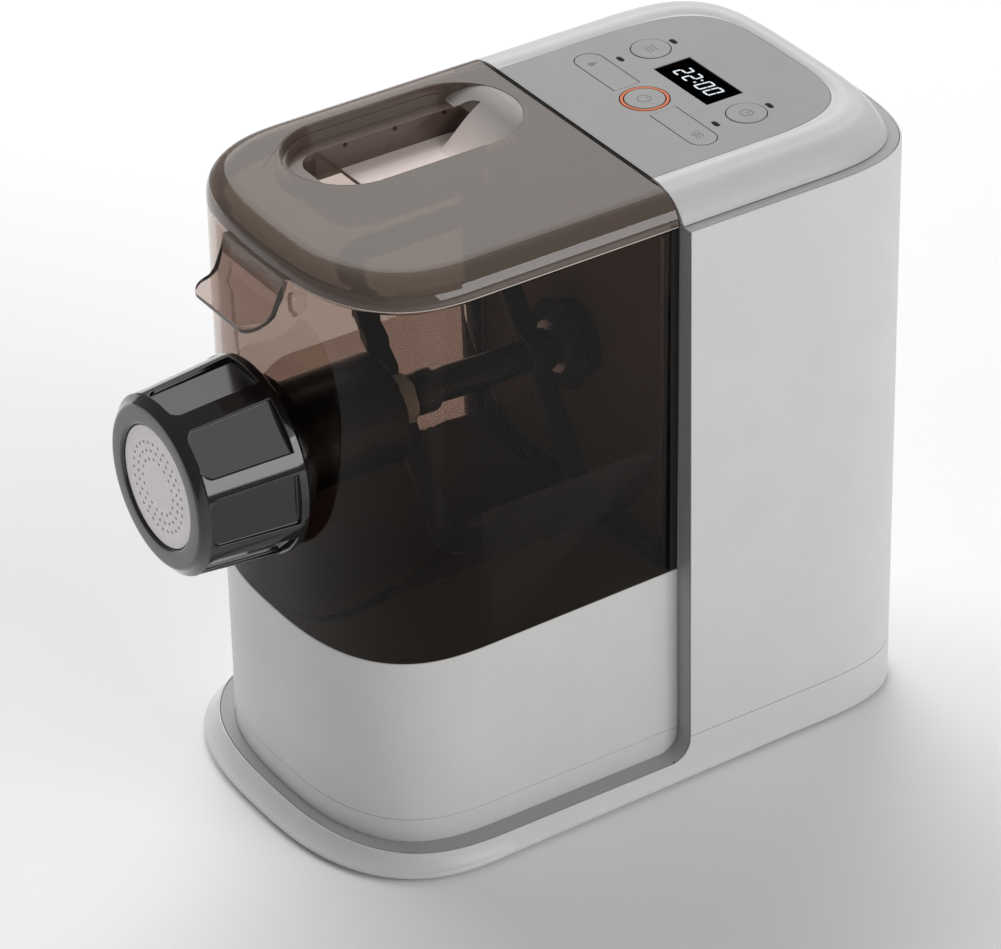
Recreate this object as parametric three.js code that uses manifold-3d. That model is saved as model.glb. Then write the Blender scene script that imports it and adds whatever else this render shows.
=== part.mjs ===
// Electric pasta maker, in millimetres, +Z up, front towards -Y.
// The pieces are drawn from the seam between the front module and the rear shell. The group then moves, so
// that the origin lies on the floor, in the middle of the overall width and depth.
import * as THREE from 'three';
import { mergeVertices } from 'three/addons/utils/BufferGeometryUtils.js';
import loadManifold from 'manifold-3d';

const wasm = await loadManifold();
wasm.setup();

// Overall form
const shellHalfWidth = 95;
const shellBack = 140;
const shellBackRound = 80;
const shellBackStart = shellBack - shellBackRound;
const shellBackExponent = 4;
const shellTop = 296.8;
const shellWall = 2.6;
const trayBottom = 2;
const ledgeTop = 12;
const ledgeFilletRadius = 11;
const partingZ = 24.2;
const partingGap = 0.3;
const clearance = 0.3;
const overrun = 1;

// Drive axis
const axisShare = 0.660714;
const axisZ = shellTop * axisShare;

// Front module, as deep as its front end, and narrower than the shell by a step on each side
const moduleStep = 10.4;
const moduleHalfWidth = shellHalfWidth - moduleStep;
const moduleFront = -167.8;
const moduleFrontRound = 68.6;
const moduleFrontStart = moduleFront + moduleFrontRound;
const moduleAcross = 2.67;
const moduleAlong = 2.91;
const moduleBack = -0.4;
const moduleWall = 2.6;
const rimFlare = 1.7;
const rimHalfWidth = moduleHalfWidth + rimFlare;
const rimSetback = 1;
const rimFront = moduleFront + rimSetback;
const rimFrontRound = 63.9;
const rimFrontStart = rimFront + rimFrontRound;
const rimAcross = 2.72;
const rimAlong = 2.69;
const rimDrop = 1.4;
const rimZ = shellTop - rimDrop;

// Mixing chamber
const chamberWall = 3.2;
const chamberRear = -4.8;
const chamberRearWall = 2.8;
const troughWall = 2.6;
const troughInset = 3.3;
const troughRadius = moduleHalfWidth - troughInset;
const deckDrop = 1.5;
const deckRear = axisZ - troughRadius - deckDrop;
const deckSlope = 0.016;
const deckThickness = 2.8;

// Foot
const footReach = 6.4;
const footFront = moduleFront - footReach;
const footFlare = 8;
const footFlareExponent = 1.5;
const footWall = 2.8;
const footCeiling = 8.4;
const footFlareShares = [[0, 0.92], [0.1, 1], [0.35, 0.62], [0.68, 0.2], [1, 0]];

// Trim
const trimThickness = 1.6;
const trimLip = 0.8;
const trimInnerInset = 11;

// Extruder: the screw's radius drives the barrel, the die and the nut
const screwRadius = 21.7;
const screwGap = 0.6;
const barrelBore = screwRadius + screwGap;
const barrelWall = 4.2;
const barrelRadius = barrelBore + barrelWall;
const barrelInnerLength = 61.8;
const barrelRear = moduleFront + barrelInnerLength;
const mouthWall = 9;
const mouthRadius = barrelRadius + mouthWall;
const mouthLength = 45.6;
const mouthFront = moduleFront - mouthLength;
const mouthChamfer = 7;
const flangeLip = 1.5;
const flangeRadius = mouthRadius + flangeLip;
const flangeGap = 0.7;
const flangeThickness = 2.2;
const flangeRear = moduleFront - flangeGap;
const flangeFront = flangeRear - flangeThickness;
const flangePadWidth = 2;
const clampWidth = 7.5;
const clampRadius = barrelRadius + clampWidth;
const clampSetback = 3.5;
const clampFront = moduleFront + clampSetback;
const clampThickness = 4.5;
const clampRear = clampFront + clampThickness;
const dieBorder = 7.5;
const dieRadius = screwRadius + dieBorder;
const dieFlangeWidth = 4;
const dieFlangeRadius = dieRadius + dieFlangeWidth;
const dieSeat = 1.6;
const dieThickness = 7.7;
const dieRear = mouthFront - dieSeat;
const dieFront = dieRear - dieThickness;
const dieHoleRadius = 0.85;
const dieHoleSides = 4;
const dieRings = [
  { share: 0.726, count: 30 },
  { share: 0.5925, count: 24 },
  { share: 0.452, count: 18 },
];
const gasketBorder = 0.8;
const gasketInnerRadius = dieRadius + gasketBorder;
const gasketThickness = 1;
const nutLip = 1.5;
const nutFront = dieFront - nutLip;
const nutGap = 0.5;
const nutRear = flangeFront - nutGap;
const nutFrontPlate = 4;
const dieShoulder = nutFront + nutFrontPlate + clearance;
const nutRimWidth = 12;
const nutRimRadius = dieRadius + nutRimWidth;
const nutNoseFlare = 2.6;
const nutShoulderRadius = nutRimRadius + nutNoseFlare;
const nutNoseLength = 9.7;
const nutShoulder = nutFront + nutNoseLength;
const nutBodyFlare = 3.2;
const nutRearRadius = nutShoulderRadius + nutBodyFlare;
const nutRimRound = 2.6;
const nutCollar = 5;
const nutFluteCount = 8;
const nutFluteFrontDepth = 2.4;
const nutFluteRearDepth = 3.8;
const nutFluteFrontRadius = nutShoulderRadius - nutFluteFrontDepth;
const nutFluteRearRadius = nutRearRadius - nutFluteRearDepth;
const nutFluteWidthShare = 0.607;
const nutFluteWidth = nutRimRadius * nutFluteWidthShare;
const nutFluteFront = nutShoulder - clearance;
const nutFluteCorner = 5;

// Screw and mixer
const screwCoreRadius = 9;
const screwPitch = 23;
const screwBlade = 3.2;
const screwNoseGap = 2.4;
const screwFront = mouthFront + screwNoseGap;
const screwTail = 14;
const screwRear = barrelRear + screwTail;
const mixerShaftRadius = 8;
const mixerShaftRear = -2.2;
const hexShare = 1.625;
const hexAcross = mixerShaftRadius * hexShare;
const hexLength = 11;
const armRadius = 4.6;
const armGap = 5.7;
const armReach = troughRadius - armRadius - armGap;
const armTurn = 0.35;
const armBendShare = 3;
const armBossShare = 1.3;
const armFrontSetback = 8;
const armFrontY = screwRear + armFrontSetback;
const armRearSetback = 17.2;
const armRearY = chamberRear - armRearSetback;
const couplingWall = 5;
const couplingRadius = mixerShaftRadius + couplingWall;
const couplingFront = mixerShaftRear - hexLength + clearance;
const couplingRear = 5.2;
const sealWall = 6;
const sealRadius = couplingRadius + sealWall;
const sealFlangeWidth = 3.5;
const sealFlangeRadius = sealRadius + sealFlangeWidth;
const sealRear = 5;
const sealLip = 1.8;
const shaftEndGap = 1.5;

// Bulkhead
const bulkheadFront = 2.9;
const bulkheadThickness = 2.4;
const bulkheadInset = 7;
const bulkheadHalfWidth = shellHalfWidth - bulkheadInset;
const bulkheadLift = 2.8;
const bulkheadBottom = partingZ + bulkheadLift;
const bulkheadDrop = 8.8;
const bulkheadTop = shellTop - bulkheadDrop;
const bulkheadBore = sealRadius + clearance;
const windowInset = 16;
const shellWindowHalfWidth = shellHalfWidth - windowInset;
const windowDrop = 10.8;
const shellWindowTop = shellTop - windowDrop;
const gasketFrameWidth = 7;
const gasketFrameFront = chamberRear + clearance;

// Gear train, parallel to Y
const stageTwoModule = 3;
const stageTwoWheelTeeth = 32;
const stageTwoPinionTeeth = 8;
const stageOneModule = 1.75;
const stageOneWheelTeeth = 30;
const stageOnePinionTeeth = 10;
const secondZ = axisZ - stageTwoModule * (stageTwoWheelTeeth + stageTwoPinionTeeth) / 2;
const motorZ = secondZ - stageOneModule * (stageOneWheelTeeth + stageOnePinionTeeth) / 2;
const gearFaceFront = 15;
const gearFaceWidth = 9;
const gearPlaneGap = 3;
const wheelWebFront = 2;
const outputShaftRadius = 8;
const secondAxleRadius = 4;
const rotorShaftRadius = 4;
const caseFront = 9.5;
const caseRear = 42;
const caseWall = 3;
const caseTopBorder = 8;
const caseTopRadius = stageTwoModule * stageTwoWheelTeeth / 2 + caseTopBorder;
const caseLowRadius = 38;
const caseLowLift = 16;
const caseLowZ = motorZ + caseLowLift;
const coverFront = 5.6;
const bearingOuter = 16;
const bearingWidth = 5;

// Motor
const motorRadius = 38;
const bracketGap = 0.4;
const bracketFront = caseRear + bracketGap;
const bracketThickness = 3;
const motorFront = bracketFront + bracketThickness + clearance;
const motorRound = 5;
const fanSetback = 30;
const fanFront = shellBack - fanSetback;
const fanGap = 4;
const motorRear = fanFront - fanGap;
const fanDepth = 13;
const fanBladeShare = 0.9;
const fanBorder = 5;
const fanRadius = motorRadius - fanBorder;
const fanHubRadius = 11;
const fanBladeCount = 7;
const fanBladeThickness = 2;
const fanBladePitch = Math.PI / 5;
const bracketBorder = 2;
const bracketHalfWidth = motorRadius + bracketBorder;
const bracketHips = 0.7;
const bracketDrop = 46.1;
const bracketTop = axisZ - bracketDrop;
const bracketFootDepth = 60;

// Lid: its crown is a rounded edge and a flat top
const lidBottom = rimZ;
const lidRise = 13.8;
const lidTop = lidBottom + lidRise;
const lidRear = -0.6;
const lidWall = 2.6;
const lidRound = 12;
const lidShares = [[0, 0], [0.021, 0.196], [0.175, 0.5145], [0.4833, 0.8043], [1, 1]];
const lidLevels = lidShares.map(([insetShare, heightShare]) => (
  { inset: insetShare * lidRound, z: lidBottom + heightShare * lidRise }
));
const lidFrontInsetShare = 0.86;
const lidSkirtInset = 5.3;
const lidSkirtWall = 1.8;
const lidSkirtDepth = 4;
const lidSkirtBack = -10;
const inletCentreShare = 0.423;
const inletWidthShare = 0.3604;
const inletCentreX = -rimHalfWidth * inletCentreShare;
const inletHalfWidth = rimHalfWidth * inletWidthShare;
const inletFrontSetback = 40.1;
const inletFrontY = rimFront + inletFrontSetback;
const inletRearSetback = 6.8;
const inletRearY = lidRear - inletRearSetback;
const inletLedgeDepth = 4.2;
const inletLedgeZ = lidTop - inletLedgeDepth;
const inletLedgeInset = 2.4;
const inletShelfDepth = 4;
const inletShelfZ = inletLedgeZ - inletShelfDepth;
const throatFarShare = 0.643;
const throatNearShare = 0.865;
const throatFarX = inletCentreX - inletHalfWidth * throatFarShare;
const throatNearX = inletCentreX + inletHalfWidth * throatNearShare;
const throatFrontSetback = 12.7;
const throatRearSetback = 11.6;
const throatFrontY = inletFrontY + throatFrontSetback;
const throatRearY = inletRearY - throatRearSetback;
const throatCorner = 13;
const throatDepth = 15;
const throatBottom = inletShelfZ - throatDepth;
const inletWall = 2.4;
const chuteDrop = 0.6;
const chuteTop = lidTop - chuteDrop;
const chuteRearY = inletRearY - clearance / 2;
const chuteFoot = throatBottom + inletWall;
const chuteSetback = 23;
const chuteFrontY = throatFrontY + chuteSetback;
const dripHoleRadius = 1.3;
const dripHoleX = throatFarX - clearance;
const dripHoleBottom = inletShelfZ - inletWall - overrun;
const dripHoleShares = [0.324, 0.551, 0.777];
const dripHoleYs = dripHoleShares.map((share) => inletFrontY + share * (inletRearY - inletFrontY));
const tabHalfWidth = 24.6;
const tabThickness = 2.4;
const tabRootReach = 1.4;
const tabRootY = rimFront - tabRootReach;
const tabRootLift = 1;
const tabRootZ = rimZ + tabRootLift;
const tabLean = 6.4;
const tabDrop = 17.8;
const tabBendY = tabRootY - tabLean;
const tabBendZ = tabRootZ - tabDrop;
const tabLipReach = 12.9;
const tabLipDrop = 3.2;
const tabLipY = tabBendY - tabLipReach;
const tabLipZ = tabBendZ - tabLipDrop;
const tabLipCorner = 12;
const tabRootFlare = 2;
const hookX = 45;
const hookWidth = 12;
const hookLift = 1.8;
const hookThickness = 2.4;
const hookBarb = 2.2;
const hookBottom = shellTop + hookLift;
const hookTop = hookBottom + hookThickness;
const hookBarbTop = hookTop + hookBarb;
const hookBarbFront = 4.6;
const hookBack = 6.6;
const hookSlotDrop = 5.8;
const hookSlotBottom = shellTop - hookSlotDrop;
const hookSlotTop = hookBarbTop - hookBarb / 2;
const catchX = 32;
const catchDrop = 8;
const catchZ = rimZ - catchDrop;
const catchWidth = 9.2;
const catchHeight = 13.8;
const catchDepth = 2.4;

// Cap
const capInset = 6.1;
const capHalfWidth = shellHalfWidth - capInset;
const capBackInset = 4.8;
const capBack = shellBack - capBackInset;
const capFront = 0.4;
const capBottom = shellTop + clearance;
const capShoulderWidth = 15.5;
const capRise = 12.4;
const capShoulderTop = shellTop + capRise;
const capShoulderShares = [
  [0, 0], [0.07, 0.12], [0.16, 0.3], [0.27, 0.47], [0.41, 0.65], [0.59, 0.81], [0.79, 0.93], [1, 1],
];
const capRidgeInset = 21;
const capRidgeRise = 1.1;
const capRidgeZ = capShoulderTop + capRidgeRise;
const capBackInsetShare = 0.636;
const capBorder = 26.4;
const fasciaHalfWidth = capHalfWidth - capBorder;
const fasciaDrop = 0.2;
const fasciaTop = capShoulderTop - fasciaDrop;
const fasciaThickness = 2;
const fasciaFront = 1.4;
const fasciaBackRound = 74.4;
const fasciaBack = capBack - capBorder * capBackInsetShare;
const fasciaBackStart = fasciaBack - fasciaBackRound;
const capDeckThickness = 2.6;
const capWall = 2.6;
const fasciaFloor = fasciaTop - fasciaThickness;
const capDeckBottom = fasciaFloor - capDeckThickness;

// Controls, in shares of the fascia's half width
const controlShares = {
  startRing: 0.1824,
  roundKeyX: 0.608,
  rowPitch: 0.475,
  roundKey: 0.1488,
  longKeyRoot: 0.2272,
  longKeyTip: 0.8256,
  longKeyRound: 0.112,
  longKeyStem: 0.7136,
  displayAcross: 0.336,
  displayAlong: 0.1584,
};
const startY = 40.8;
const startRingRadius = fasciaHalfWidth * controlShares.startRing;
const startRingWidth = 1.5;
const roundKeyX = fasciaHalfWidth * controlShares.roundKeyX;
const keyRowPitch = fasciaHalfWidth * controlShares.rowPitch;
const roundKeyY = startY + keyRowPitch;
const roundKeyRadius = fasciaHalfWidth * controlShares.roundKey;
const keyGap = 0.45;
const keyProud = 0.25;
const keyFlange = 1.2;
const keyFlangeTop = fasciaFloor - clearance;
const keyFlangeThickness = 1.2;
const keyStemRadius = 2.4;
const longKeyRootX = fasciaHalfWidth * controlShares.longKeyRoot;
const longKeyTipX = fasciaHalfWidth * controlShares.longKeyTip;
const longKeyHalfHeight = fasciaHalfWidth * controlShares.longKeyRound;
const longKeyStemX = fasciaHalfWidth * controlShares.longKeyStem;
const displayY = roundKeyY;
const displayHalfWidth = fasciaHalfWidth * controlShares.displayAcross;
const displayHalfDepth = fasciaHalfWidth * controlShares.displayAlong;
const ledX = roundKeyX;
const ledHalfWidth = 2.3;
const ledHalfDepth = 1;
const ledFrontGap = 7.8;
const ledRearGap = 3.5;
const ledYs = [roundKeyY - roundKeyRadius - ledFrontGap, roundKeyY + roundKeyRadius + ledRearGap];
const boardDrop = 8.6;
const boardTop = capDeckBottom - boardDrop;
const boardThickness = 1.6;
const switchSize = 6;
const switchHeight = 3.2;
const switchPlungerRadius = 1.6;
const keyStemGap = 0.8;
const keyStemBottom = boardTop + switchHeight + switchPlungerRadius / 2 + keyStemGap;
const ledPipeLift = 4.6;
const ledPipeBottom = boardTop + ledPipeLift;
const controlBoardInset = 6.5;
const controlBoardHalfWidth = fasciaHalfWidth - controlBoardInset;
const controlBoardFront = 20;
const controlBoardSetback = 42;
const controlBoardBack = shellBack - controlBoardSetback;
const boardPostRadius = 3.2;
const boardPostInset = 4;
const boardPostX = controlBoardHalfWidth - boardPostInset;

// Electrics
const mainBoardInset = 25;
const mainBoardX = shellHalfWidth - mainBoardInset;
const mainBoardGap = 4;
const mainBoardFront = caseRear + mainBoardGap;
const mainBoardSetback = 22;
const mainBoardBack = shellBack - mainBoardSetback;
const mainBoardDrop = 34.8;
const mainBoardHeight = 112;
const mainBoardTop = shellTop - mainBoardDrop;
const mainBoardBottom = mainBoardTop - mainBoardHeight;
const inletX = -24;
const inletZ = 52;
const inletBodyHalfWidth = 13;
const inletBodyHalfHeight = 9;
const inletFlangeHalfWidth = 18;
const inletFlangeHalfHeight = 12.5;
const inletFlangeThickness = 1.6;
const inletProud = 1.8;
const inletFlangeBack = shellBack + inletProud;
const inletBodyDepth = inletFlangeBack - fanFront - fanDepth - clearance;
const inletPocketDepth = 14;
const inletPocketWall = 2;
const inletPinRadius = 1.2;
const inletPinOffset = 5.2;

// Base
const plateBottom = 3;
const plateThickness = 2.4;
const plateInset = 3.2;
const padRadius = 10;
const padStemRadius = 4;
const padHeadRadius = 5.6;
const frontPadInset = 33;
const frontPadSetback = 41.8;
const rearPadInset = 23;
const rearPadSetback = 40;
const padPlaces = [
  [shellHalfWidth - frontPadInset, moduleFront + frontPadSetback],
  [shellHalfWidth - rearPadInset, shellBack - rearPadSetback],
];
const frontPostInset = 40;
const frontPostSetback = 69.8;
const rearPostInset = 39;
const rearPostSetback = 28;
const postPlaces = [
  [shellHalfWidth - frontPostInset, moduleFront + frontPostSetback],
  [shellHalfWidth - rearPostInset, shellBack - rearPostSetback],
];
const postRadius = 5;
const postBore = 2.1;
const postPocketRadius = 4.3;
const postPlateTop = 8;
const screwHeadRadius = 3.8;
const screwShankRadius = 1.8;
const screwHeadHeight = 1.9;
const screwLength = 14;

// Facets
const roundSteps = 16;
const roundSides = 32;
const troughSides = 64;
const nutSides = 40;
const hiddenSides = 20;
const smallSides = 14;
const tinySides = 8;
const padSides = 10;
const facetTolerance = 0.004;

// Materials
function plastic(colour, roughness) {
  return new THREE.MeshStandardMaterial({ color: colour, roughness, metalness: 0 });
}
function metal(colour, roughness) {
  return new THREE.MeshStandardMaterial({ color: colour, roughness, metalness: 1 });
}
const white = plastic(0xd8d8d6, 0.4);
const capWhite = plastic(0xdcdcda, 0.35);
const fasciaGrey = plastic(0xacacac, 0.45);
const trimGrey = plastic(0x6a6a6a, 0.5);
const smoked = new THREE.MeshPhysicalMaterial({
  color: 0x3a302c, roughness: 0.08, metalness: 0, transparent: true, opacity: 0.55,
});
const nutBlack = plastic(0x161413, 0.15);
const dieWhite = plastic(0xd2ccd0, 0.4);
const sealBlack = plastic(0x0c0c0c, 0.6);
const rubber = plastic(0x202020, 0.9);
const darkPlastic = plastic(0x2b2a2a, 0.4);
const nylon = plastic(0xe4e0d0, 0.5);
const steel = metal(0xb4b4b6, 0.35);
const motorSteel = metal(0x8c8e90, 0.5);
const orange = plastic(0xd0693a, 0.4);
const lensBlack = plastic(0x050505, 0.1);
const boardGreen = plastic(0x1f5a38, 0.6);
const lightPipe = plastic(0x18181a, 0.2);

// Solids: closed meshes, and their joins and cuts
function toSolid(geometry) {
  const bare = new THREE.BufferGeometry();
  bare.setAttribute('position', geometry.getAttribute('position'));
  if (geometry.index) bare.setIndex(geometry.index);
  const merged = mergeVertices(bare);
  const vertProperties = new Float32Array(merged.getAttribute('position').array);
  const triVerts = new Uint32Array(merged.index.array);
  return new wasm.Manifold(new wasm.Mesh({ numProp: 3, vertProperties, triVerts }));
}

function toGeometry(solid) {
  const { vertProperties, triVerts } = solid.asOriginal().simplify(facetTolerance).getMesh();
  const indexed = new THREE.BufferGeometry();
  indexed.setAttribute('position', new THREE.BufferAttribute(new Float32Array(vertProperties), 3));
  indexed.setIndex(new THREE.BufferAttribute(new Uint32Array(triVerts), 1));
  const geometry = indexed.toNonIndexed();
  geometry.computeVertexNormals();
  return geometry;
}

function join(first, ...others) {
  return others.reduce((whole, piece) => whole.add(piece), first);
}

function cut(first, ...tools) {
  return tools.reduce((whole, tool) => whole.subtract(tool), first);
}

function mirrored(solid) {
  return solid.mirror([1, 0, 0]);
}

function bothSides(solid) {
  return solid.add(mirrored(solid));
}

function block(x0, x1, y0, y1, z0, z1) {
  const geometry = new THREE.BoxGeometry(x1 - x0, y1 - y0, z1 - z0);
  geometry.translate((x0 + x1) / 2, (y0 + y1) / 2, (z0 + z1) / 2);
  return toSolid(geometry);
}

function extruded(outline, low, high) {
  const geometry = new THREE.ExtrudeGeometry(new THREE.Shape(outline), {
    depth: high - low, bevelEnabled: false, curveSegments: 1,
  });
  geometry.translate(0, 0, low);
  return geometry;
}

// An outline in X and Y, raised along Z
function prismZ(outline, z0, z1) {
  return toSolid(extruded(outline, z0, z1));
}

// An outline in X and Z, drawn out along Y
function prismY(outline, y0, y1) {
  const geometry = extruded(outline, -y1, -y0);
  geometry.rotateX(Math.PI / 2);
  return toSolid(geometry);
}

// An outline in Y and Z, drawn out along X
function prismX(outline, x0, x1) {
  const geometry = extruded(outline, x0, x1);
  const basis = new THREE.Matrix4().makeBasis(
    new THREE.Vector3(0, 1, 0), new THREE.Vector3(0, 0, 1), new THREE.Vector3(1, 0, 0),
  );
  geometry.applyMatrix4(basis);
  return toSolid(geometry);
}

function circle(radius, sides, centreX = 0, centreY = 0, phase = 0) {
  const points = [];
  for (let i = 0; i < sides; i += 1) {
    const angle = phase + 2 * Math.PI * i / sides;
    points.push(new THREE.Vector2(centreX + radius * Math.cos(angle), centreY + radius * Math.sin(angle)));
  }
  return points;
}

function rodY(radius, y0, y1, x = 0, z = axisZ, sides = roundSides) {
  return prismY(circle(radius, sides, x, z), y0, y1);
}

// A bore keeps the clearance to its shaft at the middle of each flat
function boreRadius(radius, sides) {
  return (radius + clearance) / Math.cos(Math.PI / sides);
}

function boreY(radius, y0, y1, x = 0, z = axisZ, sides = roundSides) {
  return rodY(boreRadius(radius, sides), y0, y1, x, z, sides);
}

function boreZ(radius, z0, z1, x, y, sides = smallSides) {
  return rodZ(boreRadius(radius, sides), z0, z1, x, y, sides);
}

function rodZ(radius, z0, z1, x, y, sides = smallSides) {
  return prismZ(circle(radius, sides, x, y), z0, z1);
}

function rodX(radius, x0, x1, y, z, sides = smallSides) {
  return prismX(circle(radius, sides, y, z), x0, x1);
}

// A profile of radius and place along Y, turned about the drive axis
function turned(profile, sides = roundSides, x = 0, z = axisZ) {
  const points = profile.map(([radius, y]) => new THREE.Vector2(radius, y));
  const geometry = new THREE.LatheGeometry(points, sides);
  geometry.translate(x, 0, z);
  return toSolid(geometry);
}

// The same, turned about an upright axis
function turnedUp(profile, sides, x, y) {
  const points = profile.map(([radius, z]) => new THREE.Vector2(radius, z));
  const geometry = new THREE.LatheGeometry(points, sides);
  geometry.rotateX(Math.PI / 2);
  geometry.translate(x, y, 0);
  return toSolid(geometry);
}

// A skin through rings of equally many points, closed by a flat face at each end
function loft(rings, flatten = (point) => new THREE.Vector2(point.x, point.y)) {
  const count = rings[0].length;
  const positions = rings.flat().flatMap((point) => [point.x, point.y, point.z]);
  const indices = [];
  for (let ring = 0; ring + 1 < rings.length; ring += 1) {
    for (let i = 0; i < count; i += 1) {
      const next = (i + 1) % count;
      const a = ring * count + i;
      const b = ring * count + next;
      const c = (ring + 1) * count + next;
      const d = (ring + 1) * count + i;
      indices.push(a, b, c, a, c, d);
    }
  }
  const last = (rings.length - 1) * count;
  const faces = (ring) => THREE.ShapeUtils.triangulateShape(rings[ring].map(flatten), []);
  for (const [a, b, c] of faces(0)) indices.push(a, c, b);
  for (const [a, b, c] of faces(rings.length - 1)) indices.push(last + a, last + b, last + c);
  const geometry = new THREE.BufferGeometry();
  geometry.setAttribute('position', new THREE.Float32BufferAttribute(positions, 3));
  geometry.setIndex(indices);
  return toSolid(geometry);
}

// Plan outlines
// One end of a plan, rounded as a superellipse or left flat, from its right corner to its left on side 1
function planEnd(halfWidth, end, side) {
  if (end.start === undefined) {
    return [new THREE.Vector2(side * halfWidth, end.tip), new THREE.Vector2(-side * halfWidth, end.tip)];
  }
  const points = [];
  for (let i = 0; i <= roundSteps; i += 1) {
    const angle = Math.PI * i / roundSteps;
    const across = Math.sign(Math.cos(angle)) * Math.abs(Math.cos(angle)) ** (2 / end.across);
    const along = Math.abs(Math.sin(angle)) ** (2 / end.along);
    const x = side * halfWidth * across;
    points.push(new THREE.Vector2(x, end.start + (end.tip - end.start) * along));
  }
  points[0].y = end.start;
  points[roundSteps].y = end.start;
  return points;
}

function planOutline(halfWidth, front, back) {
  return [...planEnd(halfWidth, back, 1), ...planEnd(halfWidth, front, -1)];
}

function shellBackEnd(inset = 0) {
  return {
    tip: shellBack - inset, start: shellBackStart, across: shellBackExponent, along: shellBackExponent,
  };
}

function moduleFrontEnd(inset = 0) {
  return { tip: moduleFront + inset, start: moduleFrontStart, across: moduleAcross, along: moduleAlong };
}

function rimFrontEnd(inset = 0) {
  return { tip: rimFront + inset, start: rimFrontStart, across: rimAcross, along: rimAlong };
}

function shellOutline(inset, frontY) {
  return planOutline(shellHalfWidth - inset, { tip: frontY }, shellBackEnd(inset));
}

function footOutline(inset = 0) {
  const front = { tip: footFront + inset, start: moduleFrontStart, across: moduleAcross, along: moduleAlong };
  return planOutline(shellHalfWidth - inset, front, shellBackEnd(inset));
}

function moduleOutline(inset, backY) {
  return planOutline(moduleHalfWidth - inset, moduleFrontEnd(inset), { tip: backY });
}

function rimOutline(inset, backY) {
  return planOutline(rimHalfWidth - inset, rimFrontEnd(inset * lidFrontInsetShare), { tip: backY });
}

function at(outline, height) {
  const heightAt = typeof height === 'function' ? height : () => height;
  return outline.map(({ x, y }) => new THREE.Vector3(x, y, heightAt(y)));
}

// A pill or slot, long along X or Y, between two ends
function pill(x0, x1, y0, y1, half = tinySides / 2) {
  const radius = Math.min(x1 - x0, y1 - y0) / 2;
  const alongX = x1 - x0 > y1 - y0;
  const points = [];
  const ends = alongX
    ? [[x1 - radius, (y0 + y1) / 2, -Math.PI / 2], [x0 + radius, (y0 + y1) / 2, Math.PI / 2]]
    : [[(x0 + x1) / 2, y1 - radius, 0], [(x0 + x1) / 2, y0 + radius, Math.PI]];
  for (const [cx, cy, start] of ends) {
    for (let i = 0; i <= half; i += 1) {
      const angle = start + Math.PI * i / half;
      points.push(new THREE.Vector2(cx + radius * Math.cos(angle), cy + radius * Math.sin(angle)));
    }
  }
  return points;
}

function roundedBox(x0, x1, y0, y1, radius, steps = tinySides / 2) {
  const corners = [
    [x1 - radius, y0 + radius], [x1 - radius, y1 - radius],
    [x0 + radius, y1 - radius], [x0 + radius, y0 + radius],
  ];
  return corners.flatMap(([cx, cy], corner) => Array.from({ length: steps + 1 }, (_, i) => {
    const angle = Math.PI / 2 * (corner - 1 + i / steps);
    return new THREE.Vector2(cx + radius * Math.cos(angle), cy + radius * Math.sin(angle));
  }));
}

// Assembly
const group = new THREE.Group();
group.position.y = -(nutFront + inletFlangeBack) / 2;

function place(name, shape, material, position = [0, 0, 0]) {
  const geometry = shape.isBufferGeometry ? shape : toGeometry(shape);
  const mesh = new THREE.Mesh(geometry, material);
  mesh.name = name;
  mesh.position.set(...position);
  group.add(mesh);
  return mesh;
}

// The height of the deck's upper face, which rises a little towards the rear
function deckZ(y) {
  return deckRear + deckSlope * y;
}

// The ledge's line in Y and Z: down the shell's front edge, round the fillet and forward along the foot
function ledgeLine(depth, topZ, frontY) {
  const points = [new THREE.Vector2(depth, topZ)];
  const centreZ = ledgeTop + ledgeFilletRadius;
  const filletSteps = smallSides / 2;
  for (let i = 0; i <= filletSteps; i += 1) {
    const angle = -Math.PI / 2 * i / filletSteps;
    const radius = ledgeFilletRadius + depth;
    points.push(new THREE.Vector2(
      -ledgeFilletRadius + radius * Math.cos(angle), centreZ + radius * Math.sin(angle),
    ));
  }
  points.push(new THREE.Vector2(frontY, ledgeTop - depth));
  return points;
}

// A strip that follows the ledge at a thickness, across the whole width
function ledgeStrip(thickness, topZ) {
  const frontY = footFront - footFlare;
  const outer = ledgeLine(0, topZ, frontY);
  const inner = ledgeLine(thickness, topZ, frontY).reverse();
  return prismX([...outer, ...inner], -shellHalfWidth, shellHalfWidth);
}

// The ring on which the strip shows: between the shell's lip and the front module
function ledgeRing(lip, gap) {
  const high = shellTop + overrun;
  const outer = planOutline(
    shellHalfWidth - lip,
    { tip: footFront + lip, start: moduleFrontStart, across: moduleAcross, along: moduleAlong },
    { tip: ledgeFilletRadius },
  );
  const inner = moduleOutline(-gap, ledgeFilletRadius + overrun);
  return cut(prismZ(outer, 0, high), prismZ(inner, -overrun, high + overrun));
}

const trimTopZ = shellTop - trimThickness - clearance;

function frontTrim() {
  return ledgeStrip(trimThickness, trimTopZ).intersect(ledgeRing(trimLip + clearance, clearance));
}

function frontTrimRebate() {
  return ledgeStrip(trimThickness + clearance, trimTopZ + clearance).intersect(ledgeRing(trimLip, 0));
}

function capTrim(inset, bottom, top) {
  const outer = prismZ(shellOutline(inset, 0), bottom, top);
  const inner = prismZ(shellOutline(trimInnerInset, -overrun), bottom - overrun, top + overrun);
  return cut(outer, inner);
}

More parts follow.
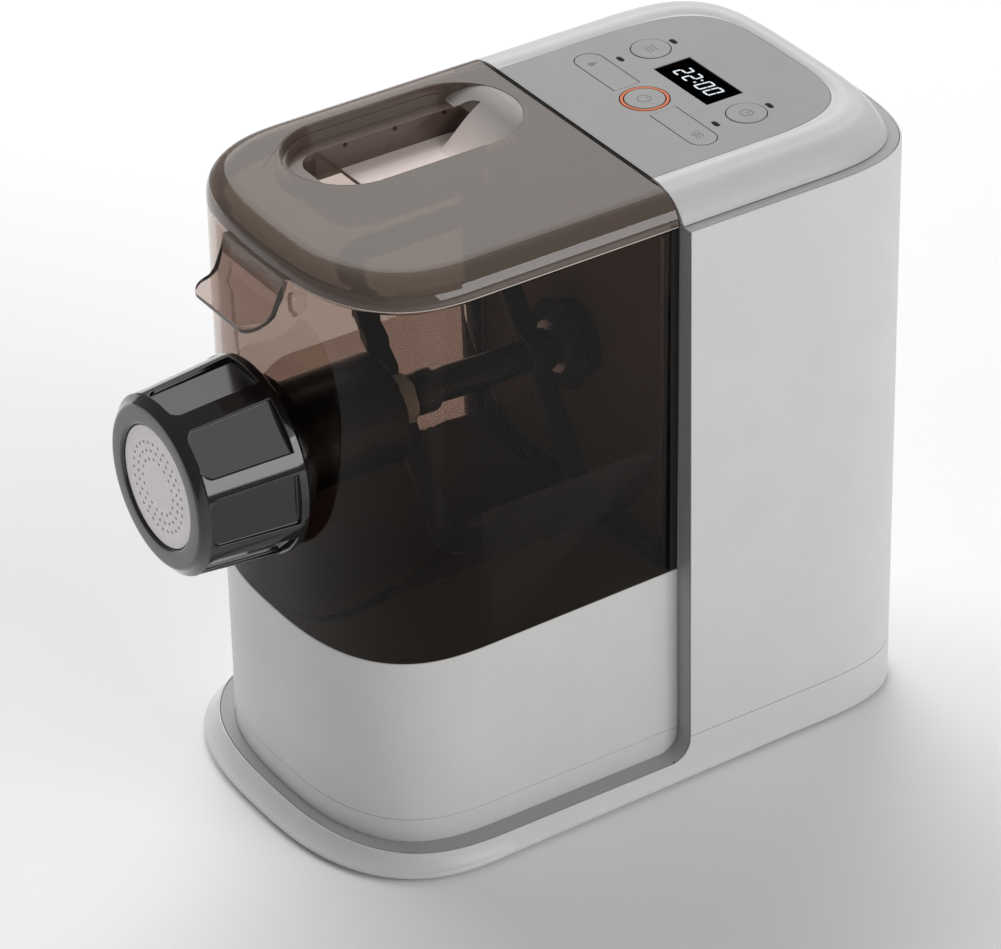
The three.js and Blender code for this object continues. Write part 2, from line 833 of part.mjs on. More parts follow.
// Foot shell: the tray's rim with its flared foot, the skirt of the rear shell and the plinth's lower band
function footShell() {
  const top = partingZ - partingGap / 2;
  const outline = footOutline();
  const normals = outline.map((point, i) => {
    const before = outline[(i + outline.length - 1) % outline.length];
    const after = outline[(i + 1) % outline.length];
    return new THREE.Vector2(after.y - before.y, before.x - after.x).normalize();
  });
  const flareAt = (y) => footFlare * (Math.max(0, -y) / -footFront) ** footFlareExponent;
  const rings = footFlareShares.map(([heightShare, flareShare]) => outline.map((point, i) => {
    const moved = point.clone().addScaledVector(normals[i], flareShare * flareAt(point.y));
    return new THREE.Vector3(moved.x, moved.y, trayBottom + heightShare * (ledgeTop - trayBottom));
  }));
  rings.push(at(outline, top));
  const above = [...ledgeLine(0, top + overrun, footFront - footFlare)];
  above.push(new THREE.Vector2(footFront - footFlare, top + overrun));
  const body = join(
    cut(loft(rings), prismX(above, -shellHalfWidth - footFlare, shellHalfWidth + footFlare)),
    prismZ(moduleOutline(0, moduleBack), footCeiling, top),
    prismZ(moduleOutline(moduleWall, shellWall + overrun), footCeiling, top),
  );
  const highVoid = top + overrun;
  return cut(
    body,
    prismZ(footOutline(footWall), trayBottom - overrun, footCeiling),
    prismZ(shellOutline(shellWall, shellWall), trayBottom, highVoid),
    prismZ(moduleOutline(moduleWall, shellWall + overrun), trayBottom, highVoid),
    frontTrimRebate(),
  );
}

function backSlots(x0, x1, bottom, pitch, height, count) {
  const slots = [];
  for (let i = 0; i < count; i += 1) {
    const z = bottom + pitch * i;
    slots.push(prismY(pill(x0, x1, z, z + height), shellBackStart, shellBack + overrun));
  }
  return join(...slots);
}

const ventHalfWidth = 34;
const ventBottom = 70;
const ventPitch = 9;
const ventHeight = 3.4;
const ventCount = 8;

function screwPost(x, y, top, bottom = postPlateTop + clearance) {
  return cut(
    rodZ(postRadius, bottom, top, x, y, tinySides),
    rodZ(postBore, bottom - overrun, bottom + screwLength, x, y, tinySides),
  );
}

const rearPostTop = 60;
const rearPostRib = 2.4;
const boardBossRadius = 3.4;
const boardBossInset = 7;
const boardBossSetback = 30;
const boardBossYs = [mainBoardFront + boardBossInset, mainBoardBack - boardBossSetback];
const boardBossEnd = shellHalfWidth - shellWall + clearance;

function rearShell() {
  const bottom = partingZ + partingGap / 2;
  const [postX, postY] = postPlaces[1];
  const innerTop = shellTop - trimThickness - shellWall;
  const body = cut(
    prismZ(shellOutline(0, 0), bottom, shellTop),
    prismZ(shellOutline(shellWall, shellWall), bottom - overrun, innerTop),
    prismZ(shellOutline(trimInnerInset + shellWall, shellWall), bottom, shellTop + overrun),
    block(
      -shellWindowHalfWidth, shellWindowHalfWidth, -overrun, shellWall + overrun,
      bottom - overrun, shellWindowTop,
    ),
    capTrim(trimLip, shellTop - trimThickness - clearance, shellTop + overrun),
    frontTrimRebate(),
    hookSlots(),
    backSlots(-ventHalfWidth, ventHalfWidth, ventBottom, ventPitch, ventHeight, ventCount),
    block(
      inletX - inletBodyHalfWidth - clearance, inletX + inletBodyHalfWidth + clearance,
      shellBack / 2, shellBack + overrun,
      inletZ - inletBodyHalfHeight - clearance, inletZ + inletBodyHalfHeight + clearance,
    ),
  );
  const rib = block(
    postX - rearPostRib / 2, postX + rearPostRib / 2, postY + postBore + overrun,
    shellBack - shellWall - overrun, bottom, rearPostTop,
  );
  const post = join(screwPost(postX, postY, rearPostTop), rib);
  return join(body, bothSides(post), ...boardBosses());
}

function boardBosses() {
  const bosses = [];
  for (const y of boardBossYs) {
    for (const z of [mainBoardBottom + boardBossInset, mainBoardTop - boardBossInset]) {
      bosses.push(rodX(
        boardBossRadius, mainBoardX + boardThickness + clearance, boardBossEnd, y, z, tinySides,
      ));
    }
  }
  return bosses;
}

function hookSlots() {
  const gap = keyFlange / 2;
  const slot = block(
    hookX - hookWidth / 2 - gap, hookX + hookWidth / 2 + gap, -overrun, capFront + capWall + overrun,
    hookSlotBottom, hookSlotTop,
  );
  return bothSides(slot);
}

// Front base: the white shell that carries the chamber
function frontBase() {
  const bottom = partingZ + partingGap / 2;
  const outline = moduleOutline(0, moduleBack);
  const inner = moduleOutline(moduleWall, overrun);
  const [postX, postY] = postPlaces[0];
  const body = cut(
    loft([at(outline, bottom), at(outline, deckZ)]),
    loft([at(inner, bottom - overrun), at(inner, (y) => deckZ(y) - deckThickness)]),
  );
  const post = screwPost(postX, postY, deckZ(postY) - deckThickness / 2);
  return join(body, bothSides(post));
}

// Mixing chamber: an outer skin with a U-shaped trough inside it, open below the trough
function chamberSkin(inset, bottomZ, topZ, backY) {
  const low = planOutline(moduleHalfWidth - inset, moduleFrontEnd(inset), { tip: backY });
  const high = planOutline(rimHalfWidth - inset, rimFrontEnd(inset), { tip: backY });
  return loft([at(low, bottomZ), at(high, topZ)]);
}

function trough(radius, y0, y1, topZ) {
  return join(
    rodY(radius, y0, y1, 0, axisZ, troughSides),
    block(-radius, radius, y0, y1, axisZ, topZ),
  );
}

function chamber() {
  const top = rimZ - clearance;
  const bottom = (y) => deckZ(y) + clearance;
  const innerFront = moduleFront + chamberWall;
  const innerRear = chamberRear - chamberRearWall;
  const high = top + overrun;
  const outer = join(
    chamberSkin(0, bottom, top, chamberRear),
    rodY(flangeRadius + flangePadWidth, flangeRear + clearance, clampFront),
  );
  const inner = chamberSkin(chamberWall, bottom, high, innerRear).intersect(
    trough(troughRadius, innerFront, innerRear, high + overrun),
  );
  const under = cut(
    chamberSkin(chamberWall, (y) => bottom(y) - overrun, axisZ - troughWall, innerRear),
    trough(troughRadius + troughWall, moduleFront - overrun, overrun, high),
    rodY(flangeRadius + chamberWall, moduleFront - overrun, clampRear),
  );
  const seat = boreY(clampRadius, clampFront, clampRear + clampThickness);
  return cut(
    outer, inner, under, seat,
    boreY(barrelRadius, flangeRear - overrun, clampRear),
    boreY(sealRadius, innerRear - overrun, overrun),
  ).add(chamberCatch());
}

// The small rounded catch beside the tab
function chamberCatch() {
  const pad = pill(
    catchX - catchWidth / 2, catchX + catchWidth / 2, catchZ - catchHeight / 2, catchZ + catchHeight / 2,
  );
  const back = moduleFront + chamberWall;
  return prismY(pad, moduleFront - catchDepth / 2, back + catchDepth / 2);
}

// The black frame behind the chamber
function chamberSeal() {
  const bottom = deckZ(0) + clearance;
  const top = rimZ - clearance;
  const frame = (inset) => [
    new THREE.Vector2(-moduleHalfWidth + inset, bottom + inset),
    new THREE.Vector2(moduleHalfWidth - inset, bottom + inset),
    new THREE.Vector2(rimHalfWidth - inset, top - inset),
    new THREE.Vector2(-rimHalfWidth + inset, top - inset),
  ];
  return cut(
    prismY(frame(clearance), gasketFrameFront, moduleBack),
    prismY(frame(gasketFrameWidth), gasketFrameFront - overrun, overrun),
  );
}

// Lid
function lidSkin(levels, backY) {
  return loft(levels.map(({ inset, z }) => at(rimOutline(inset, backY), z)));
}

function stadium(inset, z) {
  const outline = pill(
    inletCentreX - inletHalfWidth + inset, inletCentreX + inletHalfWidth - inset,
    inletFrontY + inset, inletRearY - inset, hiddenSides / 2,
  );
  return at(outline, z);
}

function throatOutline(outset, z) {
  const [x0, x1] = [throatFarX - outset, throatNearX + outset];
  const [y0, y1] = [throatFrontY - outset, throatRearY + outset];
  return at(roundedBox(x0, x1, y0, y1, throatCorner + outset), z);
}

function lid() {
  const inside = lidLevels.map(({ inset, z }) => ({ inset: inset + lidWall, z: z - lidWall }));
  inside[0].z = lidBottom - overrun;
  const shell = cut(lidSkin(lidLevels, lidRear), lidSkin(inside, lidRear - lidWall));
  const skirtTop = lidTop - lidWall / 2;
  const skirtBottom = lidBottom - lidSkirtDepth;
  const skirt = cut(
    prismZ(rimOutline(lidSkirtInset, lidSkirtBack), skirtBottom, lidBottom + lidRise / 2),
    prismZ(rimOutline(lidSkirtInset + lidSkirtWall, lidSkirtBack + overrun), skirtBottom - overrun, skirtTop),
  ).intersect(lidSkin(lidLevels.map(({ inset, z }, i) => ({ inset, z: i ? z : skirtBottom })), lidRear));
  const hopper = join(
    loft([stadium(-inletWall, inletShelfZ - inletWall), stadium(-inletWall, lidTop - lidWall / 2)]),
    loft([throatOutline(inletWall, throatBottom), throatOutline(inletWall, inletShelfZ)]),
  );
  const inlet = join(
    loft([stadium(0, inletLedgeZ), stadium(0, lidTop + overrun)]),
    loft([stadium(inletLedgeInset, inletShelfZ), stadium(inletLedgeInset, inletLedgeZ + overrun)]),
    loft([throatOutline(0, throatBottom - overrun), throatOutline(0, inletShelfZ + overrun)]),
  );
  const drips = dripHoleYs.map((y) => rodZ(
    dripHoleRadius, dripHoleBottom, inletShelfZ + overrun, dripHoleX, y, tinySides,
  ));
  const hook = join(
    block(hookX - hookWidth / 2, hookX + hookWidth / 2, lidRear - lidWall / 2, hookBack, hookBottom, hookTop),
    block(hookX - hookWidth / 2, hookX + hookWidth / 2, hookBarbFront, hookBack, hookBottom, hookBarbTop),
  );
  const carved = cut(join(shell, cut(hopper, belowChute(inletWall))), cut(inlet, belowChute(0)), ...drips);
  return join(carved, skirt, bothSides(hook), tab());
}

// Everything under the chute, which falls from the inlet's rear end towards the front
function belowChute(drop) {
  const low = throatBottom - lidWall - inletWall;
  const back = lidRear;
  const outline = [
    [chuteFrontY - drop, low], [back, low], [back, chuteTop - drop],
    [chuteRearY, chuteTop - drop], [chuteFrontY - drop, chuteFoot - drop],
  ].map(([y, z]) => new THREE.Vector2(y, z));
  return prismX(outline, throatFarX - drop, shellHalfWidth);
}

// The Z-shaped tab: a wall that leans forward from the lid's rim and a lip with round corners
function tab() {
  const side = [
    [tabRootY + tabThickness, tabRootZ], [tabRootY, tabRootZ],
    [tabRootY - tabThickness / 4, tabRootZ - tabThickness],
    [tabBendY, tabBendZ + tabThickness], [tabBendY - tabThickness, tabBendZ],
    [tabLipY, tabLipZ], [tabLipY, tabLipZ - tabThickness],
    [tabBendY - tabThickness / 2, tabBendZ - tabThickness], [tabBendY + tabThickness, tabBendZ],
    [tabRootY + tabThickness, tabRootZ - tabThickness],
  ].map(([y, z]) => new THREE.Vector2(y, z));
  const corner = tabLipCorner;
  const plan = [
    new THREE.Vector2(tabHalfWidth + tabRootFlare, tabRootY + lidRound),
    new THREE.Vector2(-tabHalfWidth - tabRootFlare, tabRootY + lidRound),
    new THREE.Vector2(-tabHalfWidth - tabRootFlare, tabRootY - tabThickness / 4),
    new THREE.Vector2(-tabHalfWidth, tabRootY - tabThickness),
  ];
  for (let i = 0; i <= smallSides / 2; i += 1) {
    const angle = Math.PI + Math.PI / 2 * i / (smallSides / 2);
    plan.push(new THREE.Vector2(
      -tabHalfWidth + corner + corner * Math.cos(angle), tabLipY + corner + corner * Math.sin(angle),
    ));
  }
  for (let i = 0; i <= smallSides / 2; i += 1) {
    const angle = -Math.PI / 2 + Math.PI / 2 * i / (smallSides / 2);
    plan.push(new THREE.Vector2(
      tabHalfWidth - corner + corner * Math.cos(angle), tabLipY + corner + corner * Math.sin(angle),
    ));
  }
  plan.push(new THREE.Vector2(tabHalfWidth, tabRootY - tabThickness));
  plan.push(new THREE.Vector2(tabHalfWidth + tabRootFlare, tabRootY - tabThickness / 4));
  const width = tabHalfWidth + tabRootFlare + overrun;
  const strip = prismX(side, -width, width);
  const mask = prismZ(plan, tabLipZ - lidRound, tabRootZ + overrun);
  const clear = chamberSkin(-clearance, deckZ, rimZ - clearance / 2, chamberRear);
  return cut(strip.intersect(mask), clear);
}

// Extruder
function barrel() {
  return turned([
    [barrelBore, barrelRear], [barrelBore, mouthFront + mouthChamfer],
    [gasketInnerRadius - overrun, mouthFront],
    [mouthRadius - overrun, mouthFront], [mouthRadius, mouthFront + overrun], [mouthRadius, flangeFront],
    [flangeRadius, flangeFront], [flangeRadius, flangeRear], [barrelRadius, flangeRear],
    [barrelRadius, barrelRear - overrun], [barrelRadius - overrun, barrelRear], [barrelBore, barrelRear],
  ]);
}

function clampRing() {
  return cut(
    rodY(clampRadius, clampFront + clearance, clampRear, 0, axisZ, hiddenSides),
    boreY(barrelRadius, clampFront - overrun, clampRear + overrun),
  );
}

function die() {
  const disc = turned([
    [0, dieFront], [dieRadius - trimLip / 2, dieFront],
    [dieRadius, dieFront + trimLip / 2], [dieRadius, dieShoulder],
    [dieFlangeRadius, dieShoulder], [dieFlangeRadius, dieRear], [0, dieRear],
  ]);
  const holes = dieRings.flatMap(({ share, count }) => Array.from({ length: count }, (_, i) => {
    const angle = 2 * Math.PI * i / count;
    const x = dieRadius * share * Math.cos(angle);
    const z = axisZ + dieRadius * share * Math.sin(angle);
    return rodY(dieHoleRadius, dieFront - overrun, dieRear + overrun, x, z, dieHoleSides);
  }));
  return cut(disc, wasm.Manifold.union(holes));
}

function gasket() {
  const front = mouthFront - clearance;
  return cut(
    rodY(dieFlangeRadius, front - gasketThickness, front, 0, axisZ, hiddenSides),
    rodY(gasketInnerRadius, front - gasketThickness - overrun, front + overrun, 0, axisZ, hiddenSides),
  );
}

function dieNut() {
  const body = turned([
    [dieRadius + clearance, nutFront + nutRimRound / 2], [dieRadius + nutRimRound, nutFront],
    [nutRimRadius - nutRimRound, nutFront], [nutRimRadius - nutRimRound / 4, nutFront + nutRimRound / 3],
    [nutRimRadius, nutFront + nutRimRound], [nutShoulderRadius, nutShoulder],
    [nutRearRadius, nutRear - nutCollar],
    [nutRearRadius, nutRear - overrun], [nutRearRadius - overrun, nutRear],
    [mouthRadius + clearance, nutRear], [mouthRadius + clearance, nutFront + nutFrontPlate],
    [dieRadius + clearance, nutFront + nutFrontPlate], [dieRadius + clearance, nutFront + nutRimRound / 2],
  ], nutSides);
  const outline = [];
  const half = nutFluteWidth / 2;
  const corner = nutFluteCorner;
  outline.push(new THREE.Vector2(half, nutRear - nutCollar));
  outline.push(new THREE.Vector2(-half, nutRear - nutCollar));
  for (const [side, start] of [[-1, Math.PI], [1, -Math.PI / 2]]) {
    for (let i = 0; i <= 3; i += 1) {
      const angle = start + Math.PI / 2 * i / 3;
      outline.push(new THREE.Vector2(
        side * (half - corner) + corner * Math.cos(angle),
        nutFluteFront + corner + corner * Math.sin(angle),
      ));
    }
  }
  const fluteFloor = (y) => THREE.MathUtils.mapLinear(
    y, nutFluteFront, nutRear - nutCollar, nutFluteFrontRadius, nutFluteRearRadius,
  );
  const flute = loft([at(outline, fluteFloor), at(outline, nutRearRadius + nutNoseLength)]);
  const flutes = Array.from({ length: nutFluteCount }, (_, i) => (
    flute.rotate([0, 360 * i / nutFluteCount, 0]).translate([0, 0, axisZ])
  ));
  return cut(body, ...flutes);
}

// Screw: a blade wound round a core
function screw() {
  const stepsPerTurn = 10;
  const length = screwRear - screwFront - screwPitch / 2;
  const steps = Math.round(stepsPerTurn * length / screwPitch);
  const rings = [];
  for (let i = 0; i <= steps; i += 1) {
    const angle = 2 * Math.PI * i / stepsPerTurn;
    const y = screwFront + screwBlade / 2 + screwPitch * i / stepsPerTurn;
    const section = [
      [screwCoreRadius / 2, -screwBlade / 2], [screwRadius, -screwBlade / 4],
      [screwRadius, screwBlade / 4], [screwCoreRadius / 2, screwBlade / 2],
    ];
    rings.push(section.map(([radius, dy]) => new THREE.Vector3(
      radius * Math.cos(angle), y + dy, axisZ + radius * Math.sin(angle),
    )));
  }
  const blade = loft(rings, (point) => new THREE.Vector2(Math.hypot(point.x, point.z - axisZ), point.y));
  const core = turned([
    [0, screwFront], [screwCoreRadius - screwBlade, screwFront], [screwCoreRadius, screwFront + screwPitch],
    [screwCoreRadius + screwBlade, screwRear], [0, screwRear],
  ], smallSides);
  return join(core, blade);
}

function hexagon(across, centreZ) {
  return circle(across / Math.sqrt(3), 6, 0, centreZ);
}

function mixerShaft() {
  return join(
    rodY(mixerShaftRadius, screwRear + clearance, mixerShaftRear - hexLength, 0, axisZ, smallSides),
    prismY(hexagon(hexAcross, axisZ), mixerShaftRear - hexLength - overrun, mixerShaftRear),
    ...[armFrontY, armRearY].map((y) => (
      rodY(
        mixerShaftRadius + armRadius / 2, y - armRadius * armBossShare, y + armRadius * armBossShare,
        0, axisZ, smallSides,
      )
    )),
  );
}

// A loop of round bar from the shaft out to the trough's wall and back
function mixerArm(turns) {
  const root = mixerShaftRadius + armRadius / 2 + clearance;
  const bend = armRadius * armBendShare;
  const path = new THREE.CurvePath();
  const corner = (x, y) => new THREE.Vector3(x, y, 0);
  const line = (a, b) => path.add(new THREE.LineCurve3(a, b));
  const round = (a, b, c) => path.add(new THREE.QuadraticBezierCurve3(a, b, c));
  line(corner(root, armFrontY), corner(armReach - bend, armFrontY));
  round(corner(armReach - bend, armFrontY), corner(armReach, armFrontY), corner(armReach, armFrontY + bend));
  line(corner(armReach, armFrontY + bend), corner(armReach, armRearY - bend));
  round(corner(armReach, armRearY - bend), corner(armReach, armRearY), corner(armReach - bend, armRearY));
  line(corner(armReach - bend, armRearY), corner(root, armRearY));
  const section = new THREE.Shape(circle(armRadius, tinySides));
  const geometry = new THREE.ExtrudeGeometry(section, {
    steps: roundSteps, extrudePath: path, bevelEnabled: false,
  });
  geometry.rotateY(turns * 2 * Math.PI);
  geometry.translate(0, 0, axisZ);
  return toSolid(geometry);
}

function coupling() {
  const hexEnd = mixerShaftRear + clearance;
  const hexSocket = hexAcross + clearance + clearance;
  const boreFront = mixerShaftRear + shaftEndGap - clearance;
  return cut(
    rodY(couplingRadius, couplingFront, couplingRear, 0, axisZ, hiddenSides),
    prismY(hexagon(hexSocket, axisZ), couplingFront - overrun, hexEnd),
    boreY(outputShaftRadius, boreFront, couplingRear + overrun, 0, axisZ, smallSides),
  );
}

function outputShaft() {
  return rodY(outputShaftRadius, mixerShaftRear + shaftEndGap, caseRear, 0, axisZ, smallSides);
}

function shaftSeal() {
  const innerRear = chamberRear - chamberRearWall;
  const lip = sealLip;
  const sealBore = couplingRadius + clearance + clearance;
  return turned([
    [couplingRadius + clearance, innerRear - lip - clearance], [sealFlangeRadius, innerRear - lip],
    [sealFlangeRadius, innerRear - clearance], [sealRadius, innerRear - clearance],
    [sealRadius, sealRear], [sealBore, sealRear],
    [sealBore, innerRear], [couplingRadius + clearance, innerRear - lip - clearance],
  ], hiddenSides);
}

function bulkhead() {
  const back = bulkheadFront + bulkheadThickness;
  return cut(
    block(-bulkheadHalfWidth, bulkheadHalfWidth, bulkheadFront, back, bulkheadBottom, bulkheadTop),
    rodY(bulkheadBore, bulkheadFront - overrun, back + overrun),
  );
}

// Gears
function gearOutline(teeth, size, centreZ, phase) {
  const pitchRadius = size * teeth / 2;
  const shares = [[-1.15, -0.925], [0.9, -0.3], [0.9, 0.3], [-1.15, 0.925]];
  const points = [];
  for (let tooth = 0; tooth < teeth; tooth += 1) {
    const middle = phase + 2 * Math.PI * tooth / teeth;
    for (const [radialShare, sideShare] of shares) {
      const radius = pitchRadius + radialShare * size;
      const angle = middle + sideShare * size / radius;
      points.push(new THREE.Vector2(radius * Math.cos(angle), centreZ + radius * Math.sin(angle)));
    }
  }
  return points;
}

const pinionPhase = Math.PI / stageTwoPinionTeeth;
const wheelRimTeeth = 3;
const stageOneFront = gearFaceFront + gearFaceWidth + gearPlaneGap;
const stageOneRear = stageOneFront + gearFaceWidth - gearPlaneGap / 2;

function outputGear() {
  const rear = gearFaceFront + gearFaceWidth;
  const hub = outputShaftRadius + caseTopBorder;
  const rim = stageTwoModule * (stageTwoWheelTeeth / 2 - wheelRimTeeth);
  const wheel = prismY(gearOutline(stageTwoWheelTeeth, stageTwoModule, axisZ, 0), gearFaceFront, rear);
  const groove = cut(
    rodY(rim, gearFaceFront - overrun, gearFaceFront + wheelWebFront, 0, axisZ, hiddenSides),
    rodY(hub, gearFaceFront - overrun, rear + overrun, 0, axisZ, hiddenSides),
  );
  const bore = boreY(outputShaftRadius, gearFaceFront - overrun, rear + overrun, 0, axisZ, smallSides);
  return cut(wheel, groove, bore);
}

function secondGear() {
  return cut(
    join(
      prismY(
        gearOutline(stageTwoPinionTeeth, stageTwoModule, secondZ, pinionPhase),
        gearFaceFront - overrun, stageOneFront,
      ),
      prismY(
        gearOutline(stageOneWheelTeeth, stageOneModule, secondZ, -Math.PI / 2),
        stageOneFront - clearance, stageOneRear,
      ),
    ),
    boreY(secondAxleRadius, 0, caseRear, 0, secondZ, smallSides),
  );
}

function motorPinion() {
  return cut(
    prismY(
      gearOutline(stageOnePinionTeeth, stageOneModule, motorZ, 0),
      stageOneFront - overrun, stageOneRear + overrun,
    ),
    boreY(rotorShaftRadius, 0, caseRear, 0, motorZ, smallSides),
  );
}

// The case's outline in X and Z: two rounds and their tangents
function caseOutline(inset) {
  const high = caseTopRadius - inset;
  const low = caseLowRadius - inset;
  const tilt = Math.asin((high - low) / (axisZ - caseLowZ));
  const points = [];
  const arc = (radius, centreZ, from, to) => {
    const steps = hiddenSides / 2;
    for (let i = 0; i <= steps; i += 1) {
      const angle = from + (to - from) * i / steps;
      points.push(new THREE.Vector2(radius * Math.cos(angle), centreZ + radius * Math.sin(angle)));
    }
  };
  arc(high, axisZ, -tilt, Math.PI + tilt);
  arc(low, caseLowZ, Math.PI + tilt, 2 * Math.PI - tilt);
  return points;
}

function gearboxCase() {
  const innerRear = caseRear - caseWall;
  return cut(
    prismY(caseOutline(0), caseFront, caseRear),
    prismY(caseOutline(caseWall), caseFront - overrun, innerRear),
    boreY(bearingOuter, innerRear - overrun, caseRear + overrun, 0, axisZ, hiddenSides),
    boreY(secondAxleRadius, innerRear - overrun, caseRear + overrun, 0, secondZ, smallSides),
    rodY(rotorShaftRadius + bracketBorder, innerRear - overrun, caseRear + overrun, 0, motorZ, smallSides),
  );
}

function gearboxCover() {
  const back = caseFront - clearance;
  return cut(
    prismY(caseOutline(0), coverFront, back),
    boreY(bearingOuter, coverFront - overrun, back + overrun, 0, axisZ, hiddenSides),
    boreY(secondAxleRadius, coverFront - overrun, back + overrun, 0, secondZ, smallSides),
  );
}

function bearing(front, back) {
  return cut(
    rodY(bearingOuter, front, back, 0, axisZ, hiddenSides),
    boreY(outputShaftRadius, front - overrun, back + overrun, 0, axisZ, smallSides),
  );
}

// Motor
function motorBody() {
  return turned([
    [rotorShaftRadius + clearance, motorFront], [motorRadius - motorRound, motorFront],
    [motorRadius, motorFront + motorRound], [motorRadius, motorRear - motorRound],
    [motorRadius - motorRound, motorRear], [rotorShaftRadius + clearance, motorRear],
    [rotorShaftRadius + clearance, motorFront],
  ], hiddenSides, 0, motorZ);
}

function motorBracket() {
  const low = plateBottom + plateThickness + clearance;
  const back = bracketFront + bracketThickness;
  const plate = [
    [-bracketHalfWidth, low], [bracketHalfWidth, low], [bracketHalfWidth, motorZ],
    [bracketHalfWidth * bracketHips, bracketTop], [-bracketHalfWidth * bracketHips, bracketTop],
    [-bracketHalfWidth, motorZ],
  ].map(([x, z]) => new THREE.Vector2(x, z));
  const foot = block(
    -bracketHalfWidth, bracketHalfWidth, bracketFront, back + bracketFootDepth, low, low + bracketThickness,
  );
  const gusset = [
    [back - clearance, low], [back + bracketFootDepth, low],
    [back + bracketFootDepth, low + bracketThickness + bracketBorder],
    [back - clearance, motorZ - motorRadius],
  ].map(([y, z]) => new THREE.Vector2(y, z));
  const side = prismX(gusset, bracketHalfWidth - bracketThickness, bracketHalfWidth);
  return cut(
    join(prismY(plate, bracketFront, back), foot, bothSides(side)),
    rodY(rotorShaftRadius + bracketBorder, bracketFront - overrun, back + overrun, 0, motorZ, smallSides),
  );
}

function rotorShaft() {
  return rodY(rotorShaftRadius, stageOneFront - overrun, fanFront + fanDepth, 0, motorZ, smallSides);
}

function coolingFan() {
  const hub = rodY(fanHubRadius, fanFront, fanFront + fanDepth, 0, 0, smallSides);
  const blades = Array.from({ length: fanBladeCount }, (_, i) => {
    const span = fanRadius - fanHubRadius / 2;
    const geometry = new THREE.BoxGeometry(span, fanDepth * fanBladeShare, fanBladeThickness);
    geometry.rotateX(fanBladePitch);
    geometry.translate((fanRadius + fanHubRadius / 2) / 2, fanFront + fanDepth / 2, 0);
    geometry.rotateY(2 * Math.PI * i / fanBladeCount);
    return toSolid(geometry);
  });
  const bore = boreY(rotorShaftRadius, fanFront - overrun, fanFront + fanDepth + overrun, 0, 0, smallSides);
  return cut(join(hub, ...blades), bore).translate([0, 0, motorZ]);
}

// Cap and controls
function capOutline(inset, frontY = capFront) {
  return planOutline(capHalfWidth - inset, { tip: frontY }, {
    tip: capBack - inset * capBackInsetShare,
    start: shellBackStart,
    across: shellBackExponent,
    along: shellBackExponent,
  });
}

function fasciaOutline(inset) {
  return planOutline(fasciaHalfWidth - inset, { tip: fasciaFront + inset }, {
    tip: fasciaBack - inset,
    start: fasciaBackStart,
    across: shellBackExponent,
    along: shellBackExponent,
  });
}

function longKeyOutline(outset) {
  const half = longKeyHalfHeight + outset;
  const tip = longKeyTipX + outset;
  const points = [
    new THREE.Vector2(longKeyRootX - outset, startY + half),
    new THREE.Vector2(longKeyRootX - outset, startY - half),
  ];
  for (let i = 0; i <= smallSides / 2; i += 1) {
    const angle = -Math.PI / 2 + Math.PI * i / (smallSides / 2);
    points.push(new THREE.Vector2(tip - half + half * Math.cos(angle), startY + half * Math.sin(angle)));
  }
  return points;
}

function keyHoles(outset, low, high, sides) {
  return [
    rodZ(startRingRadius + outset, low, high, 0, startY, sides),
    bothSides(rodZ(roundKeyRadius + outset, low, high, roundKeyX, roundKeyY, sides)),
    bothSides(prismZ(longKeyOutline(outset), low, high)),
  ];
}

function ledSlots(gap, low, high) {
  const slots = ledYs.map((y) => (
    prismZ(pill(
      ledX - ledHalfWidth - gap, ledX + ledHalfWidth + gap, y - ledHalfDepth - gap, y + ledHalfDepth + gap,
    ), low, high)
  ));
  return bothSides(join(...slots));
}

function displayHole(gap, low, high) {
  return block(
    -displayHalfWidth - gap, displayHalfWidth + gap, displayY - displayHalfDepth - gap,
    displayY + displayHalfDepth + gap, low, high,
  );
}

function topCap() {
  const rings = capShoulderShares.map(([insetShare, heightShare]) => (
    at(capOutline(insetShare * capShoulderWidth), capBottom + heightShare * (capShoulderTop - capBottom))
  ));
  rings.push(at(capOutline(capRidgeInset), capRidgeZ));
  rings.push(at(capOutline(capHalfWidth - fasciaHalfWidth), fasciaTop));
  const inner = [
    at(capOutline(capWall, capFront + capWall), capBottom - overrun),
    at(capOutline(capWall, capFront + capWall), capBottom + capWall),
    at(capOutline(capShoulderWidth, capFront + capWall), capDeckBottom),
  ];
  const high = fasciaTop + overrun;
  const posts = [];
  for (const y of [controlBoardFront + boardBossInset, controlBoardBack - boardBossInset]) {
    posts.push(bothSides(rodZ(
      boardPostRadius, boardTop + clearance, capDeckBottom + overrun, boardPostX, y, tinySides,
    )));
  }
  return join(
    cut(
      loft(rings),
      loft(inner),
      prismZ(fasciaOutline(0), fasciaFloor, capRidgeZ + overrun),
      displayHole(0, capDeckBottom - overrun, high),
      ledSlots(clearance, capDeckBottom - overrun, high),
      hookSlots(),
      ...keyHoles(keyFlange + keyGap, capDeckBottom - overrun, high, smallSides),
    ),
    ...posts,
  );
}

function fascia() {
  const low = fasciaFloor - overrun;
  const high = fasciaTop + overrun;
  return cut(
    prismZ(fasciaOutline(clearance), fasciaFloor, fasciaTop),
    displayHole(clearance, low, high),
    ledSlots(clearance, low, high),
    ...keyHoles(keyGap, low, high, roundSides),
  );
}

function keyParts(outline, flangeOutline, stemX, stemY) {
  const bodyLow = keyFlangeTop - keyFlangeThickness;
  return join(
    prismZ(outline, bodyLow, fasciaTop + keyProud),
    prismZ(flangeOutline, bodyLow, keyFlangeTop),
    rodZ(keyStemRadius, keyStemBottom, keyFlangeTop, stemX, stemY, tinySides),
  );
}

function startButton() {
  const radius = startRingRadius - startRingWidth - keyGap;
  return keyParts(
    circle(radius, roundSides, 0, startY), circle(radius, smallSides, 0, startY), 0, startY,
  );
}

